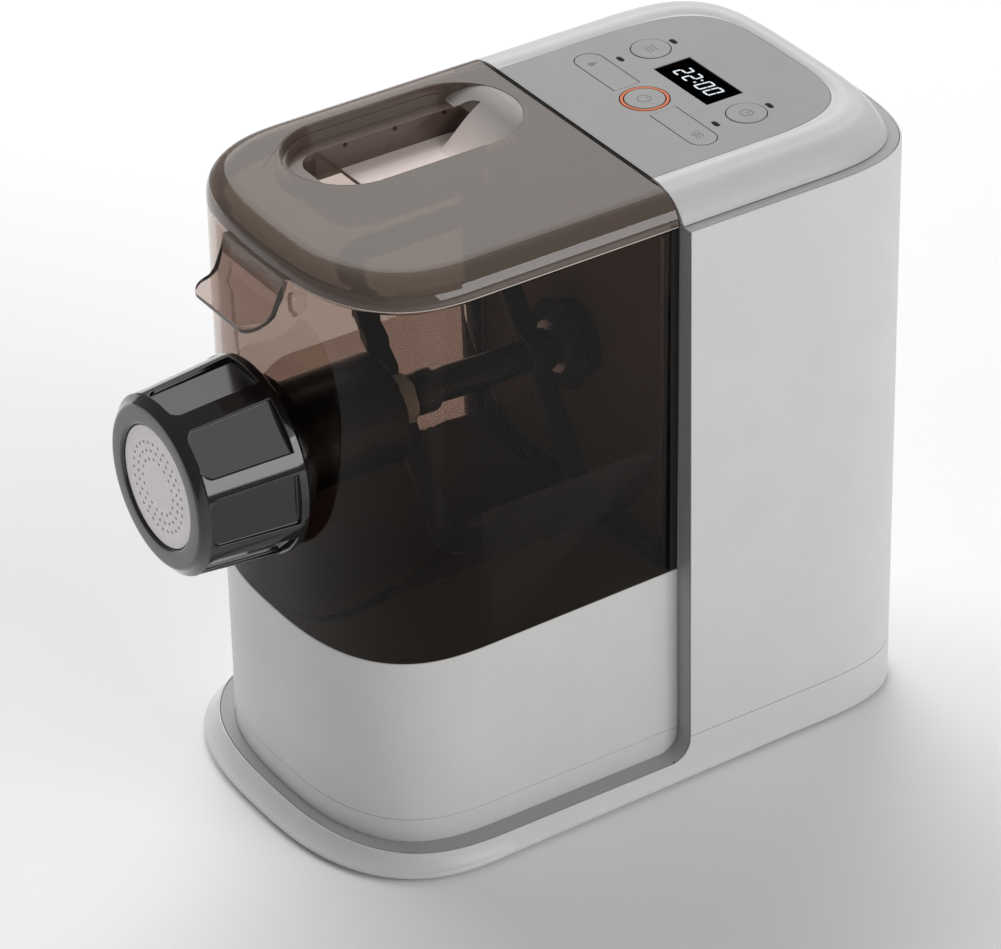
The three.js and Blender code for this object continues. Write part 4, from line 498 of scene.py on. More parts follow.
def shell_outline(inset, front):
    half = SHELL_HALF - inset
    return shell_back_end(half, inset) + flat_end(half, front, -1)


def foot_outline(inset=0.0):
    half = SHELL_HALF - inset
    return shell_back_end(half, inset) + front_end(half, inset, FOOT_FRONT)


def module_outline(inset, back):
    half = MODULE_HALF - inset
    return flat_end(half, back, 1) + front_end(half, inset, MODULE_FRONT)


def rim_outline(inset, back, tip_share=RIM_TIP_SHARE):
    half = RIM_HALF - inset
    front = rounded_end(half, RIM_FRONT + inset * tip_share, RIM_START, RIM_POWERS, -1)
    return flat_end(half, back, 1) + front


def cap_outline(inset, front=CAP_FRONT):
    half = CAP_HALF - inset
    back = rounded_end(half, CAP_BACK - inset * CAP_TIP_SHARE, SHELL_BACK_START, BACK_POWERS, 1)
    return back + flat_end(half, front, -1)


def fascia_outline(inset):
    half = FASCIA_HALF - inset
    back = rounded_end(half, FASCIA_BACK - inset, FASCIA_BACK_START, BACK_POWERS, 1)
    return back + flat_end(half, FASCIA_FRONT + inset, -1)


def arc(cx, cy, radius, start, turn, steps):
    """Points on an arc that starts at an angle and turns on by another."""
    angles = [start + turn * i / steps for i in range(steps + 1)]
    return [(cx + radius * math.cos(a), cy + radius * math.sin(a)) for a in angles]


def pill(x0, x1, y0, y1, half=24):
    """A box with two half-round ends, each of a number of steps."""
    radius = min(x1 - x0, y1 - y0) / 2
    if x1 - x0 > y1 - y0:
        ends = [(x1 - radius, (y0 + y1) / 2, -math.pi / 2), (x0 + radius, (y0 + y1) / 2, math.pi / 2)]
    else:
        ends = [((x0 + x1) / 2, y1 - radius, 0), ((x0 + x1) / 2, y0 + radius, math.pi)]
    return [p for cx, cy, start in ends for p in arc(cx, cy, radius, start, math.pi, half)]


def rounded_box(x0, x1, y0, y1, radius, steps=10):
    left, right, front, rear = x0 + radius, x1 - radius, y0 + radius, y1 - radius
    points = []
    for k, (cx, cy) in enumerate([(right, front), (right, rear), (left, rear), (left, front)]):
        points += arc(cx, cy, radius, math.pi / 2 * (k - 1), math.pi / 2, steps)
    return points


def curve_through(knots, steps):
    """A smooth line through a few knots of two numbers each."""
    p = np.array(knots, float)
    t = np.concatenate([[0], np.cumsum(np.linalg.norm(np.diff(p, axis=0), axis=1))])
    slope = np.gradient(p, t, axis=0)
    made = []
    for s in np.linspace(0, t[-1], steps + 1):
        k = min(np.searchsorted(t, s, side="right") - 1, len(t) - 2)
        h = t[k + 1] - t[k]
        u = (s - t[k]) / h
        made.append(tuple(
            (2 * u**3 - 3 * u**2 + 1) * p[k] + (u**3 - 2 * u**2 + u) * h * slope[k]
            + (-2 * u**3 + 3 * u**2) * p[k + 1] + (u**3 - u**2) * h * slope[k + 1]
        ))
    return made


def deck_z(y):
    """The height of the front base's sloping top."""
    return 113.3 + 0.016 * y


# Finishing a piece
def finished(obj, name, body, look, slot, replaced=(), smooth=32, round_edges=0.0, segments=2):
    """Names a piece, puts it in place, rounds its edges, gives it its body and finish, and hides the CAD
    nodes that it replaces.
    """
    obj.name = name
    obj.data.name = name
    obj.data.transform(Matrix.Translation((0, SEAM_Y * MM, 0)) @ Matrix.Scale(MM, 4))
    if round_edges:
        rounding = obj.modifiers.new("rounding", "BEVEL")
        rounding.width = round_edges * MM
        rounding.segments = segments
        rounding.limit_method = "ANGLE"
        rounding.angle_limit = math.radians(35)
        rounding.use_clamp_overlap = False
        # Sliding along narrow faces would fold them over
        rounding.loop_slide = False
        apply_modifiers(obj)
    edit = bmesh.new()
    edit.from_mesh(obj.data)
    limit = math.radians(smooth)
    for face in edit.faces:
        face.smooth = abs(face.normal.z) < 0.9999
    for edge in edit.edges:
        if len(edge.link_faces) == 2:
            edge.smooth = edge.calc_face_angle(0) < limit
    edit.to_mesh(obj.data)
    edit.free()
    shading = obj.modifiers.new("shading", "WEIGHTED_NORMAL")
    shading.keep_sharp = True
    obj.data.materials.clear()
    obj.data.materials.append(MATERIALS[look])
    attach(obj, body)
    if replaced:
        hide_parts(*replaced)
    return obj


def paint_inside(obj, look, half, start, tip, top):
    """Gives the faces inside a body with a rounded front another finish."""
    across, along = FRONT_POWERS
    inside = 0.93
    obj.data.materials.append(MATERIALS[look])
    for face in obj.data.polygons:
        x, y, z = face.center / MM
        ahead = max(0.0, start - (y - SEAM_Y)) / (start - tip)
        if (abs(x) / half) ** across + ahead**along < inside and z < top:
            face.material_index = 1


# The white shells and their trim
TRIM_TOP = SHELL_TOP - TRIM_THICK - GAP
SEAM_BACK, BASE_FOOT, RING_DEPTH = -0.4, 8.4, 11
HOOK_X, HOOK_SLOT, SLOT_LOW, SLOT_HIGH = 45, 6.6, 291, 302
WINDOW_HALF, WINDOW_TOP = 79, 286
INLET_X, INLET_HALF, INLET_FRONT, INLET_LOW, INLET_HIGH = -24, 13.3, 70, 42.7, 61.3
VENTS, VENT_HALF, VENT_LOW, VENT_HIGH, VENT_PITCH, VENT_FRONT = 8, 34, 70, 73.4, 9, 130
PAST_BACK = SHELL_BACK + 1


def ledge_line(depth, top, front):
    """The line down the shell's front edge and forward along the foot, at a depth in the trim, as Y and Z."""
    bend = arc(-LEDGE_FILLET, LEDGE_TOP + LEDGE_FILLET, LEDGE_FILLET + depth, 0, -math.pi / 2, 24)
    return [(depth, top)] + bend + [(front, LEDGE_TOP - depth)]


def ledge_strip(thickness, top):
    front = FOOT_FRONT - FOOT_FLARE
    line = ledge_line(0, top, front) + ledge_line(thickness, top, front)[::-1]
    return prism_x(line, -SHELL_HALF, SHELL_HALF)


def ledge_ring(lip, gap):
    half = SHELL_HALF - lip
    outer = flat_end(half, LEDGE_FILLET, 1) + front_end(half, lip, FOOT_FRONT)
    inner = module_outline(-gap, LEDGE_FILLET + 1)
    return cut(prism_z(outer, 0, SHELL_TOP + 1), prism_z(inner, -1, SHELL_TOP + 2))


def front_trim_rebate():
    return shared(ledge_strip(TRIM_THICK + GAP, TRIM_TOP + GAP), ledge_ring(TRIM_LIP, 0))


def cap_trim_ring(inset, low, high):
    outer = prism_z(shell_outline(inset, 0), low, high)
    return cut(outer, prism_z(shell_outline(RING_DEPTH, -1), low - 1, high + 1))


def hook_slots():
    return [block(x - HOOK_SLOT, x + HOOK_SLOT, -1, 4, SLOT_LOW, SLOT_HIGH) for x in (-HOOK_X, HOOK_X)]


def make_foot():
    """The foot flares most at its front. Each share of the flare is given at a share of the rim's height."""
    top = PARTING_Z - GAP / 2
    rim_inset = 2.8
    outline = foot_outline()
    p = np.array(outline)
    along = np.roll(p, -1, axis=0) - np.roll(p, 1, axis=0)
    normal = np.stack([along[:, 1], -along[:, 0]], axis=1)
    normal /= np.linalg.norm(normal, axis=1)[:, None]
    flare = FOOT_FLARE * (np.maximum(0, -p[:, 1]) / -FOOT_FRONT) ** 1.5
    shares = curve_through([(0, 0.92), (0.1, 1), (0.35, 0.62), (0.68, 0.2), (1, 0)], 18)
    rings = []
    for height, share in shares:
        moved = p + normal * (flare * share)[:, None]
        rings.append([(x, y, TRAY_BOTTOM + height * (LEDGE_TOP - TRAY_BOTTOM)) for x, y in moved])
    rings.append(at(outline, top))
    front = FOOT_FRONT - FOOT_FLARE
    above = ledge_line(0, top + 1, front) + [(front, top + 1)]
    body = cut(loft(rings), prism_x(above, -SHELL_HALF - FOOT_FLARE, SHELL_HALF + FOOT_FLARE))
    body = join(body, prism_z(module_outline(0, SEAM_BACK), BASE_FOOT, top))
    body = cut(
        body,
        prism_z(foot_outline(rim_inset), TRAY_BOTTOM - 1, BASE_FOOT),
        prism_z(shell_outline(WALL, WALL), TRAY_BOTTOM, top + 1),
        prism_z(module_outline(WALL, WALL + 1), TRAY_BOTTOM, top + 1),
        front_trim_rebate(),
    )
    finished(body, "foot_rim", "housing", "white", "white_shell", ["foot_shell"], round_edges=0.25)


def make_rear_shell():
    bottom = PARTING_Z + GAP / 2
    body = prism_z(shell_outline(0, 0), bottom, SHELL_TOP)
    roof, opening = 4.2, 13.6
    tools = [
        prism_z(shell_outline(WALL, WALL), bottom - 1, SHELL_TOP - roof),
        prism_z(shell_outline(opening, WALL), bottom, SHELL_TOP + 1),
        block(-WINDOW_HALF, WINDOW_HALF, -1, WALL + 1, bottom - 1, WINDOW_TOP),
        cap_trim_ring(TRIM_LIP, TRIM_TOP, SHELL_TOP + 1),
        front_trim_rebate(),
        block(INLET_X - INLET_HALF, INLET_X + INLET_HALF, INLET_FRONT, PAST_BACK, INLET_LOW, INLET_HIGH),
    ]
    tools += hook_slots()
    for i in range(VENTS):
        slot = pill(-VENT_HALF, VENT_HALF, VENT_LOW + VENT_PITCH * i, VENT_HIGH + VENT_PITCH * i, 12)
        tools.append(prism_y(slot, VENT_FRONT, PAST_BACK))
    body = cut(body, *tools)
    finished(body, "rear_housing", "housing", "white", "white_shell", ["rear_shell"], round_edges=0.3)


def make_front_base():
    bottom = PARTING_Z + GAP / 2
    edge_inset, edge_drop, deck_thick = 0.35, 0.4, 2.8
    outer = module_outline(0, SEAM_BACK)
    small = module_outline(edge_inset, SEAM_BACK)
    body = loft([at(outer, bottom), at(outer, lambda y: deck_z(y) - edge_drop), at(small, deck_z)])
    inner = module_outline(WALL, 1)
    body = cut(body, loft([at(inner, bottom - 1), at(inner, lambda y: deck_z(y) - deck_thick)]))
    base = finished(body, "front_base_shell", "housing", "white", "white_shell", ["front_base"])
    base.data.materials.append(MATERIALS["deck"])
    for face in base.data.polygons:
        if face.normal.z > 0.9 and face.center.z > (deck_z(MODULE_FRONT) - 1) * MM:
            face.material_index = 1


def make_trims():
    strip = shared(ledge_strip(TRIM_THICK, TRIM_TOP), ledge_ring(TRIM_LIP + GAP, GAP))
    finished(strip, "front_trim_strip", "housing", "trim", "grey_trim", ["front_trim"])
    ring = cap_trim_ring(TRIM_LIP + GAP, SHELL_TOP - TRIM_THICK, SHELL_TOP)
    finished(ring, "cap_trim_strip", "housing", "trim", "grey_trim", ["cap_trim"])


# The smoked chamber and its lid
CHAMBER_WALL, CHAMBER_BACK, CHAMBER_REAR = 3.2, -4.8, -7.6
COLLAR_FRONT, COLLAR_REAR, BOSS_FRONT, MOUTH_REAR = -168.2, -164.3, -159.8, -155.3


def chamber_skin(inset, bottom, top, back):
    low = module_outline(inset, back)
    high = rim_outline(inset, back, 1.0)
    return loft([at(low, bottom), at(high, top)])


def trough(radius, y0, y1, top):
    return join(prism_y(circle(radius, 128, 0, AXIS_Z), y0, y1), block(-radius, radius, y0, y1, AXIS_Z, top))


def rod_y(radius, y0, y1, x=0.0, z=AXIS_Z, sides=64):
    return prism_y(circle(radius, sides, x, z), y0, y1)


def make_chamber():
    top = RIM_Z - GAP
    front, rear = MODULE_FRONT + CHAMBER_WALL, CHAMBER_REAR

    def bottom(y):
        return deck_z(y) + GAP

    def below(y):
        return bottom(y) - 1

    collar, around, clamp_hole, mouth, shaft_hole = 39, 40.2, 34.3, 26.8, 19.3
    body = join(chamber_skin(0, bottom, top, CHAMBER_BACK), rod_y(collar, COLLAR_FRONT, COLLAR_REAR))
    inner = chamber_skin(CHAMBER_WALL, bottom, top + 1, rear)
    inner = shared(inner, trough(TROUGH_RADIUS, front, rear, top + 2))
    under = cut(
        chamber_skin(CHAMBER_WALL, below, AXIS_Z - WALL, rear),
        trough(TROUGH_RADIUS + WALL, MODULE_FRONT - 1, 1, top + 1),
        rod_y(around, MODULE_FRONT - 1, BOSS_FRONT),
    )
    body = cut(
        body, inner, under, rod_y(clamp_hole, COLLAR_REAR, MOUTH_REAR), rod_y(mouth, -169.5, BOSS_FRONT),
        rod_y(shaft_hole, rear - 1, 1),
    )
    catch = pill(29.0, 35.4, 281.5, 293.0)
    body = join(body, prism_y(catch, -168.6, -163.4))
    replaced = ["mixing_chamber"]
    wall = finished(body, "chamber_wall", "housing", "smoked", "smoked_plastic", replaced, round_edges=0.35)
    paint_inside(wall, "smoked_inside", MODULE_HALF, MODULE_START, MODULE_FRONT, RIM_Z)


# The lid's crown, as the inset from its rim and the height. Its second level ends the band of painted
# highlight on the rim.
RIM_HIGHLIGHT_BAND, CROWN_INSET, CROWN_HEIGHT = 0.75, 12, 13.8
CROWN_KNOTS = [(0, 0), (0.021, 0.196), (0.175, 0.5145), (0.4833, 0.8043), (0.95, 0.975), (1.5, 1)]
LID_CROWN = [
    (max(0.0, inset) * CROWN_INSET, RIM_Z + min(1.0, height) * CROWN_HEIGHT)
    for inset, height in curve_through(CROWN_KNOTS, 16)
]
LID_CROWN.insert(1, (0, RIM_Z + RIM_HIGHLIGHT_BAND))

# The recess in the lid: its outline, the pocket's, and the heights of its floor, shelf, ledge and ramp
RECESS_X, RECESS_HALF, RECESS_FRONT = -36.5, 31.1, -126.7
POCKET_LEFT, POCKET_RIGHT, HOLE_FRONT, POCKET_CORNER = -56.5, -9.6, -114, 13
POCKET_FLOOR, SHELF_Z, LEDGE_Z, RAMP_START, RAMP_END, RAMP_TOP = 288.0, 301.0, 305.0, -27.0, -7.4, 309.0
POCKET_FRONT, POCKET_REAR, COVE_START, COVE_SIDE = -88.0, -19.0, -42.0, -45.2
LEDGE_WIDTH, RECESS_WALL, THROAT_BOTTOM, BOWL_TOP = 2.4, 2.4, 286, 307.9
DRIP_PLACES = (-85.5, -58.8, -32.0)

# Bounds well clear of the recess, for its cutters
CLEAR_LEFT, CLEAR_FRONT, CLEAR_BELOW, CLEAR_ABOVE = -80, -130, 280, 312


def lid_skin(levels, back):
    return loft([at(rim_outline(inset, back), z) for inset, z in levels])


def stadium(inset, z):
    """The recess's outline."""
    left, right = RECESS_X - RECESS_HALF + inset, RECESS_X + RECESS_HALF - inset
    return at(pill(left, right, RECESS_FRONT + inset, RAMP_END - inset, 40), z)


def throat(outset, z):
    """The outline of the pocket and the feed hole in front of it."""
    left, right = POCKET_LEFT - outset, POCKET_RIGHT + outset
    return at(rounded_box(left, right, HOLE_FRONT - outset, POCKET_REAR + outset, POCKET_CORNER + outset), z)


def ramp_line(steps=24):
    """A soft slope from the pocket's floor to the lid's top at the recess's rear end, as Y and Z."""
    points = []
    for i in range(steps + 1):
        share = i / steps
        soft = share**0.7
        rise = soft**2 * (3 - 2 * soft)
        place = COVE_START + (RAMP_END - COVE_START) * share
        points.append((place, POCKET_FLOOR + (RAMP_TOP - POCKET_FLOOR) * rise))
    return points


def shelf_line():
    """The same slope where it starts from the shelf."""
    return [(RAMP_START, SHELF_Z)] + [(y, max(SHELF_Z, z)) for y, z in ramp_line() if y > RAMP_START + 0.1]


def over_line(line, x0, x1):
    """The space over a line, inside the recess's outline."""
    past = RAMP_END + 1
    over = prism_x(line + [(past, line[-1][1]), (past, CLEAR_ABOVE), (line[0][0], CLEAR_ABOVE)], x0, x1)
    return shared(over, loft([stadium(0, POCKET_FLOOR - 1), stadium(0, CLEAR_ABOVE + 1)]))


def shelf_void(inset):
    """The space over the ledge and the shelf, in front of the ramp."""
    edge = LEDGE_WIDTH + inset
    levels = join(
        loft([stadium(inset, LEDGE_Z + inset), stadium(inset, CLEAR_ABOVE - 1)]),
        loft([stadium(edge, SHELF_Z + inset), stadium(edge, LEDGE_Z + 1)]),
    )
    ahead = block(CLEAR_LEFT, 0, CLEAR_FRONT, RAMP_START + inset, CLEAR_BELOW, CLEAR_ABOVE + 1)
    return shared(levels, ahead)


def pocket_void(inset):
    return loft([throat(-inset, POCKET_FLOOR + inset), throat(-inset, SHELF_Z + 1)])


def feed_hole(outset, low, high):
    ahead = block(CLEAR_LEFT, 0, CLEAR_FRONT, POCKET_FRONT, low - 1, high + 1)
    return shared(loft([throat(outset, low), throat(outset, high)]), ahead)


def recess_void():
    ramp = over_line(shelf_line(), CLEAR_LEFT, 0)
    cove = over_line(ramp_line(), COVE_SIDE, 0)
    return join(shelf_void(0), ramp, pocket_void(0), feed_hole(0, THROAT_BOTTOM - 2, POCKET_FLOOR + 1), cove)


def recess_body():
    """The walls round the recess, one wall thick."""
    wall, cove_top = RECESS_WALL, 308
    bowl = loft([stadium(-wall, SHELF_Z - wall), stadium(-wall, BOWL_TOP)])
    pocket = loft([throat(wall, THROAT_BOTTOM), throat(wall, SHELF_Z)])
    under = [(y, z - wall) for y, z in ramp_line()]
    cove = prism_x(under + [(RAMP_END, cove_top), (COVE_START, cove_top)], COVE_SIDE - wall, 0)
    cove = shared(cove, loft([stadium(-wall, POCKET_FLOOR - wall), stadium(-wall, BOWL_TOP)]))
    return join(bowl, pocket, cove)


def sheet_on(line, x0, x1):
    """A thin sheet on a line, which goes on level past its end."""
    thick = 0.5
    line = line + [(line[-1][0] + 1, line[-1][1])]
    return prism_x(line + [(y, z + thick) for y, z in reversed(line)], x0, x1)


def make_chute():
    """The pale floor of the pocket and the ramp behind it."""
    floor_gap, ramp_gap, slope_gap, slope_top, left, right = 0.3, 0.05, 0.15, 309.1, -57, -9
    floor = sheet_on([(POCKET_FRONT, POCKET_FLOOR), (POCKET_REAR, POCKET_FLOOR)], left, right)
    floor = shared(floor, loft([throat(-floor_gap, THROAT_BOTTOM), throat(-floor_gap, CLEAR_ABOVE)]))
    floor = cut(floor, block(COVE_SIDE, 0, COVE_START, 0, CLEAR_BELOW, CLEAR_ABOVE))
    cove = sheet_on(ramp_line(), COVE_SIDE, 0)
    around = loft([throat(ramp_gap, THROAT_BOTTOM), throat(ramp_gap, CLEAR_ABOVE)])
    ramp = cut(sheet_on(shelf_line(), CLEAR_LEFT, COVE_SIDE), around)
    slope = shared(join(cove, ramp), loft([stadium(slope_gap, THROAT_BOTTOM), stadium(slope_gap, slope_top)]))
    finished(join(floor, slope), "chute_floor", "lid", "chute", "smoked_plastic", smooth=50)


def make_recess_shade_liner():
    """A thin dark skin on the walls round the recess, which is painted shade, and three dark dots of painted
    shade at the drip holes along its crease.
    """
    outside, inside, floor_top = 0.03, 0.4, 288.55
    bounds = block(CLEAR_LEFT, 0, CLEAR_FRONT, 0, CLEAR_BELOW, RAMP_TOP)
    skin = shared(join(shelf_void(outside), pocket_void(outside)), bounds)
    skin = cut(
        skin, join(shelf_void(inside), pocket_void(inside)),
        feed_hole(0.1, THROAT_BOTTOM - 2, POCKET_FLOOR + 1),
        block(-60, -5, CLEAR_FRONT, COVE_START + 30, THROAT_BOTTOM, floor_top),
        block(COVE_SIDE, 0, COVE_START, 0, CLEAR_BELOW, CLEAR_ABOVE),
    )
    finished(skin, "recess_shade_liner", "lid", "recess", "smoked_plastic", smooth=50, round_edges=0.12)
    # Black discs on the far wall paint the shade inside the drip holes.
    dot_radius, dot_z, left, right = 1.15, 300.1, -56.3, -55.95
    dots = [prism_x(circle(dot_radius, 24, y, dot_z), left, right) for y in DRIP_PLACES]
    finished(join(dots[0], *dots[1:]), "drip_hole_shade_dots", "lid", "seal", "smoked_plastic", round_edges=0.1)


TAB_REAR, TAB_LOW, TAB_END = -168.9, 296.2, -187


def lid_tab():
    """The tab at the lid's front: a side view through three points, cut to a plan with round corners."""
    y0, z0, y1, z1, y2, z2, t = -168.2, 296.4, -174.6, 278.6, -187.5, 275.4, 2.4
    side = [
        (y0 + t, z0), (y0, z0), (y0 - t / 4, z0 - t), (y1, z1 + t), (y1 - t, z1), (y2, z2), (y2, z2 - t),
        (y1 - t / 2, z1 - t), (y1 + t, z1), (y0 + t, z0 - t),
    ]
    half, corner, flare = 24.6, 7.5, 1
    plan = [(half + flare, y0 + 12), (-half - flare, y0 + 12), (-half - flare, y0 - t / 4), (-half, y0 - t)]
    for cx, start in ((-half + corner, math.pi), (half - corner, -math.pi / 2)):
        plan += arc(cx, y2 + corner, corner, start, math.pi / 2, 16)
    plan += [(half, y0 - t), (half + flare, y0 - t / 4)]
    wide, below = 28, 262
    body = shared(prism_x(side, -wide, wide), prism_z(plan, below, z0 + 1))
    return cut(body, chamber_skin(-GAP, deck_z, RIM_Z - GAP / 2, CHAMBER_BACK))


def lid_hooks():
    """Two hooks that reach back into the shell's slots, each an arm and an upturned end."""
    half, low, arm_top, end_top, start, end_start, end = 6, 298.6, 301, 303.2, -1.9, 4.6, 6.6
    hooks = []
    for side in (-1, 1):
        x = HOOK_X * side
        hooks.append(block(x - half, x + half, start, end, low, arm_top))
        hooks.append(block(x - half, x + half, end_start, end, low, end_top))
    return hooks


def make_lid():
    skirt_outside, skirt_inside, skirt_drop = 5.3, 7.1, 4
    inside = [(WALL, RIM_Z - 1)] + [(inset + WALL, z - WALL) for inset, z in LID_CROWN if z > RIM_Z + 2]
    shell = cut(lid_skin(LID_CROWN, SEAM_BACK), lid_skin(inside, -3.2))
    skirt = cut(
        prism_z(rim_outline(skirt_outside, -10), RIM_Z - skirt_drop, RIM_Z + 6.9),
        prism_z(rim_outline(skirt_inside, -9), RIM_Z - skirt_drop - 1, RIM_Z + 12.5),
    )
    skirt = shared(skirt, lid_skin([(0, RIM_Z - skirt_drop)] + LID_CROWN[1:], -0.6))
    drip_radius, drip_x, drip_low, drip_high = 1.2, -57.4, 297.6, 302
    drips = [prism_z(circle(drip_radius, 20, drip_x, y), drip_low, drip_high) for y in DRIP_PLACES]
    body = cut(join(shell, recess_body()), recess_void(), *drips)
    body = join(body, skirt, lid_tab(), *lid_hooks())
    lid = finished(body, "lid_shell", "lid", "lid", "smoked_plastic", ["lid"], round_edges=0.35)
    paint_inside(lid, "lid_inside", RIM_HALF, RIM_START, RIM_FRONT, RIM_Z + 12.8)
    crown, edge, rim, tab = 0, 2, 3, 4
    for look in ("lid_edge_shade", "lid_rim_highlight", "lid_tab"):
        lid.data.materials.append(MATERIALS[look])
    for face in lid.data.polygons:
        y, z = face.center.y / MM - SEAM_Y, face.center.z / MM
        upright = abs(face.normal.z) < 0.3
        on_tab = y < TAB_REAR and z < TAB_LOW
        # The tab gets a paler tint, which is painted light.
        if on_tab:
            face.material_index = tab
        # The tab's side and end faces get painted shade.
        if on_tab and upright and (abs(face.normal.x) > 0.35 or y < TAB_END):
            face.material_index = edge
        # A thin band at the foot of the rim gets a painted highlight.
        if face.material_index == crown and upright and RIM_Z < z < RIM_Z + RIM_HIGHLIGHT_BAND and y < -3:
            face.material_index = rim


# The extruder
NUT_FRONT, NUT_REAR, NUT_RADIUS, NUT_BORE, NUT_OPENING, NUT_FLATS = -224.2, -171.2, 47, 35.8, 29.5, 8
DIE_FRONT, DIE_LIP, DIE_REAR, DIE_RADIUS, DIE_RIM = -222.7, -219.9, -215, 29.2, 33.2
DIE_RINGS = ((21.2, 30), (17.3, 24), (13.2, 18))


def make_nut():
    """The nut widens to its rear. A block with two round corners and a rising floor cuts each flat."""
    front, rear = NUT_FRONT, NUT_REAR
    profile = [
        (NUT_OPENING, front + 1.3), (30.2, front + 0.35), (31.2, front), (37.4, front), (38.6, front + 0.35),
        (39.5, front + 1.1), (40.0, front + 2.2), (42.9, front + 4.0), (NUT_RADIUS, rear - 5),
        (NUT_RADIUS, rear - 1), (NUT_RADIUS - 1, rear), (NUT_BORE, rear), (NUT_BORE, front + 4),
        (NUT_OPENING, front + 4),
    ]
    body = turned(profile, 160)
    start, end, corner = front + 4.8, rear - 5, 5.0
    front_half, rear_half, front_floor, floor_rise, outside = 11.8, 13.0, 40.0, 3.0, 60.0
    outline = [(rear_half, end), (-rear_half, end)]
    for side, angle in ((-1, math.pi), (1, -math.pi / 2)):
        outline += arc(side * (front_half - corner), start + corner, corner, angle, math.pi / 2, 12)
    low = [(x, y, front_floor + (y - start) / (end - start) * floor_rise) for x, y in outline]
    high = [(x, y, outside) for x, y in outline]
    cutters = []
    for k in range(NUT_FLATS):
        cutter = loft([low, high])
        turn = Matrix.Translation((0, 0, AXIS_Z)) @ Matrix.Rotation(2 * math.pi * k / NUT_FLATS, 4, "Y")
        cutter.data.transform(turn)
        cutters.append(cutter)
    body = cut(body, *cutters)
    rounding = {"round_edges": 0.55, "segments": 3}
    finished(body, "nut_shell", "nut", "nut", "black_gloss", ["die_nut"], smooth=40, **rounding)


def make_die():
    front, hole = DIE_FRONT, 0.85
    disc = turned([
        (0, front), (28.6, front), (29.05, front + 0.15), (DIE_RADIUS, front + 0.6), (DIE_RADIUS, DIE_LIP),
        (DIE_RIM, DIE_LIP), (DIE_RIM, DIE_REAR), (0, DIE_REAR),
    ], 128)
    holes = [
        rod_y(hole, front - 1, DIE_REAR + 1, x, z, 10)
        for radius, count in DIE_RINGS
        for x, z in circle(radius, count, 0, AXIS_Z)
    ]
    finished(cut(disc, *holes), "die_disc", "die_plate", "die", "die_plastic", ["die"], smooth=40)


def make_barrel():
    bore, mouth, flange, outer, rear = 22.3, 35.5, 37, 26.5, -106
    tube = turned([
        (bore, rear), (bore, -206.4), (29, -213.4), (mouth - 1, -213.4), (mouth, -212.4), (mouth, -170.7),
        (flange, -170.7), (flange, -168.5), (outer, -168.5), (outer, rear - 1), (outer - 1, rear),
    ], 96)
    finished(tube, "barrel_tube", "housing", "dark", "dark_plastic", ["extruder_barrel"], smooth=40)


def make_arm(tag, turns):
    """A flat blade in a loop from the shaft out to the trough's wall and back."""
    root, reach, front, rear, wide, bend, tight, thick = 7.0, 75.6, -102.6, -17.4, 11.0, 13.0, 6.0, 5.0
    quarter, steps = math.pi / 2, 10
    outline = [(root, front)] + arc(reach - bend, front + bend, bend, -quarter, quarter, steps)
    outline += arc(reach - bend, rear - bend, bend, 0, quarter, steps) + [(root, rear), (root, rear - wide)]
    inner = reach - wide - tight
    outline += arc(inner, rear - wide - tight, tight, quarter, -quarter, steps)
    outline += arc(inner, front + wide + tight, tight, 0, -quarter, steps) + [(root, front + wide)]
    blade = spun(prism_z(outline, AXIS_Z - thick / 2, AXIS_Z + thick / 2), turns * 2 * math.pi)
    rounding = {"round_edges": 0.8, "segments": 3}
    finished(blade, f"{tag}_blade", "mixer", "dark", "dark_plastic", [f"mixing_arm_{tag}"], **rounding)


# The cap and its controls. The cap's slope and crest are given as the inset from its edge and the height.
CAP_FOOT, CAP_SLOPE, CAP_RISE = 297.1, 15.5, 12.1
CAP_KNOTS = [
    (0, 0), (0.07, 0.12), (0.16, 0.3), (0.27, 0.47), (0.41, 0.65), (0.59, 0.81), (0.79, 0.93), (1, 1),
]
CAP_PROFILE = [
    (inset * CAP_SLOPE, CAP_FOOT + height * CAP_RISE) for inset, height in curve_through(CAP_KNOTS, 20)
]
CAP_CREST = [(17.5, 309.75), (19.5, 310.2), (21, 310.3), (22.5, 310.2), (24.4, 309.75), (26.4, 309)]

START_Y, START_HOLE, START_RADIUS, RING_OUTER, RING_INNER = 40.8, 11.4, 9.45, 11.3, 10
ROUND_X, ROUND_Y, ROUND_RADIUS = 38, 70.5, 9.3
LONG_INNER, LONG_TIP, LONG_HALF = 14.2, 51.6, 7
SLOT_PLACES, SLOT_START, SLOT_END = (53.4, 83.3), 35.7, 40.3
DISPLAY_HALF, DISPLAY_FRONT, DISPLAY_REAR = 21, 60.6, 80.4
CAP_HOLE_GAP, PANEL_HOLE_GAP, KEY_BOTTOM, KEY_PROUD, KEY_CORNERS = 1.65, 0.45, 305.5, 0.25, 0.3


def long_key(outset):
    """A long key's outline. Its inner end takes only a fifth of the outset."""
    half, tip = LONG_HALF + outset, LONG_TIP + outset
    inner = LONG_INNER - outset / 5
    end = arc(tip - half, START_Y, half, -math.pi / 2, math.pi, 32)
    return [(inner, START_Y + half), (inner, START_Y - half)] + end


def both(outline, low, high):
    """A prism on each side of the middle plane."""
    return [mirrored(prism_z(outline, low, high), side) for side in (1, -1)]


def control_holes(outset, low, high):
    start = prism_z(circle(START_HOLE + outset, 64, 0, START_Y), low, high)
    rounds = both(circle(ROUND_RADIUS + outset, 64, ROUND_X, ROUND_Y), low, high)
    return [start] + rounds + both(long_key(outset), low, high)


def window_slots(gap, low, high):
    slots = []
    for y in SLOT_PLACES:
        slots += both(pill(SLOT_START - gap, SLOT_END + gap, y - 1 - gap, y + 1 + gap, 10), low, high)
    return slots


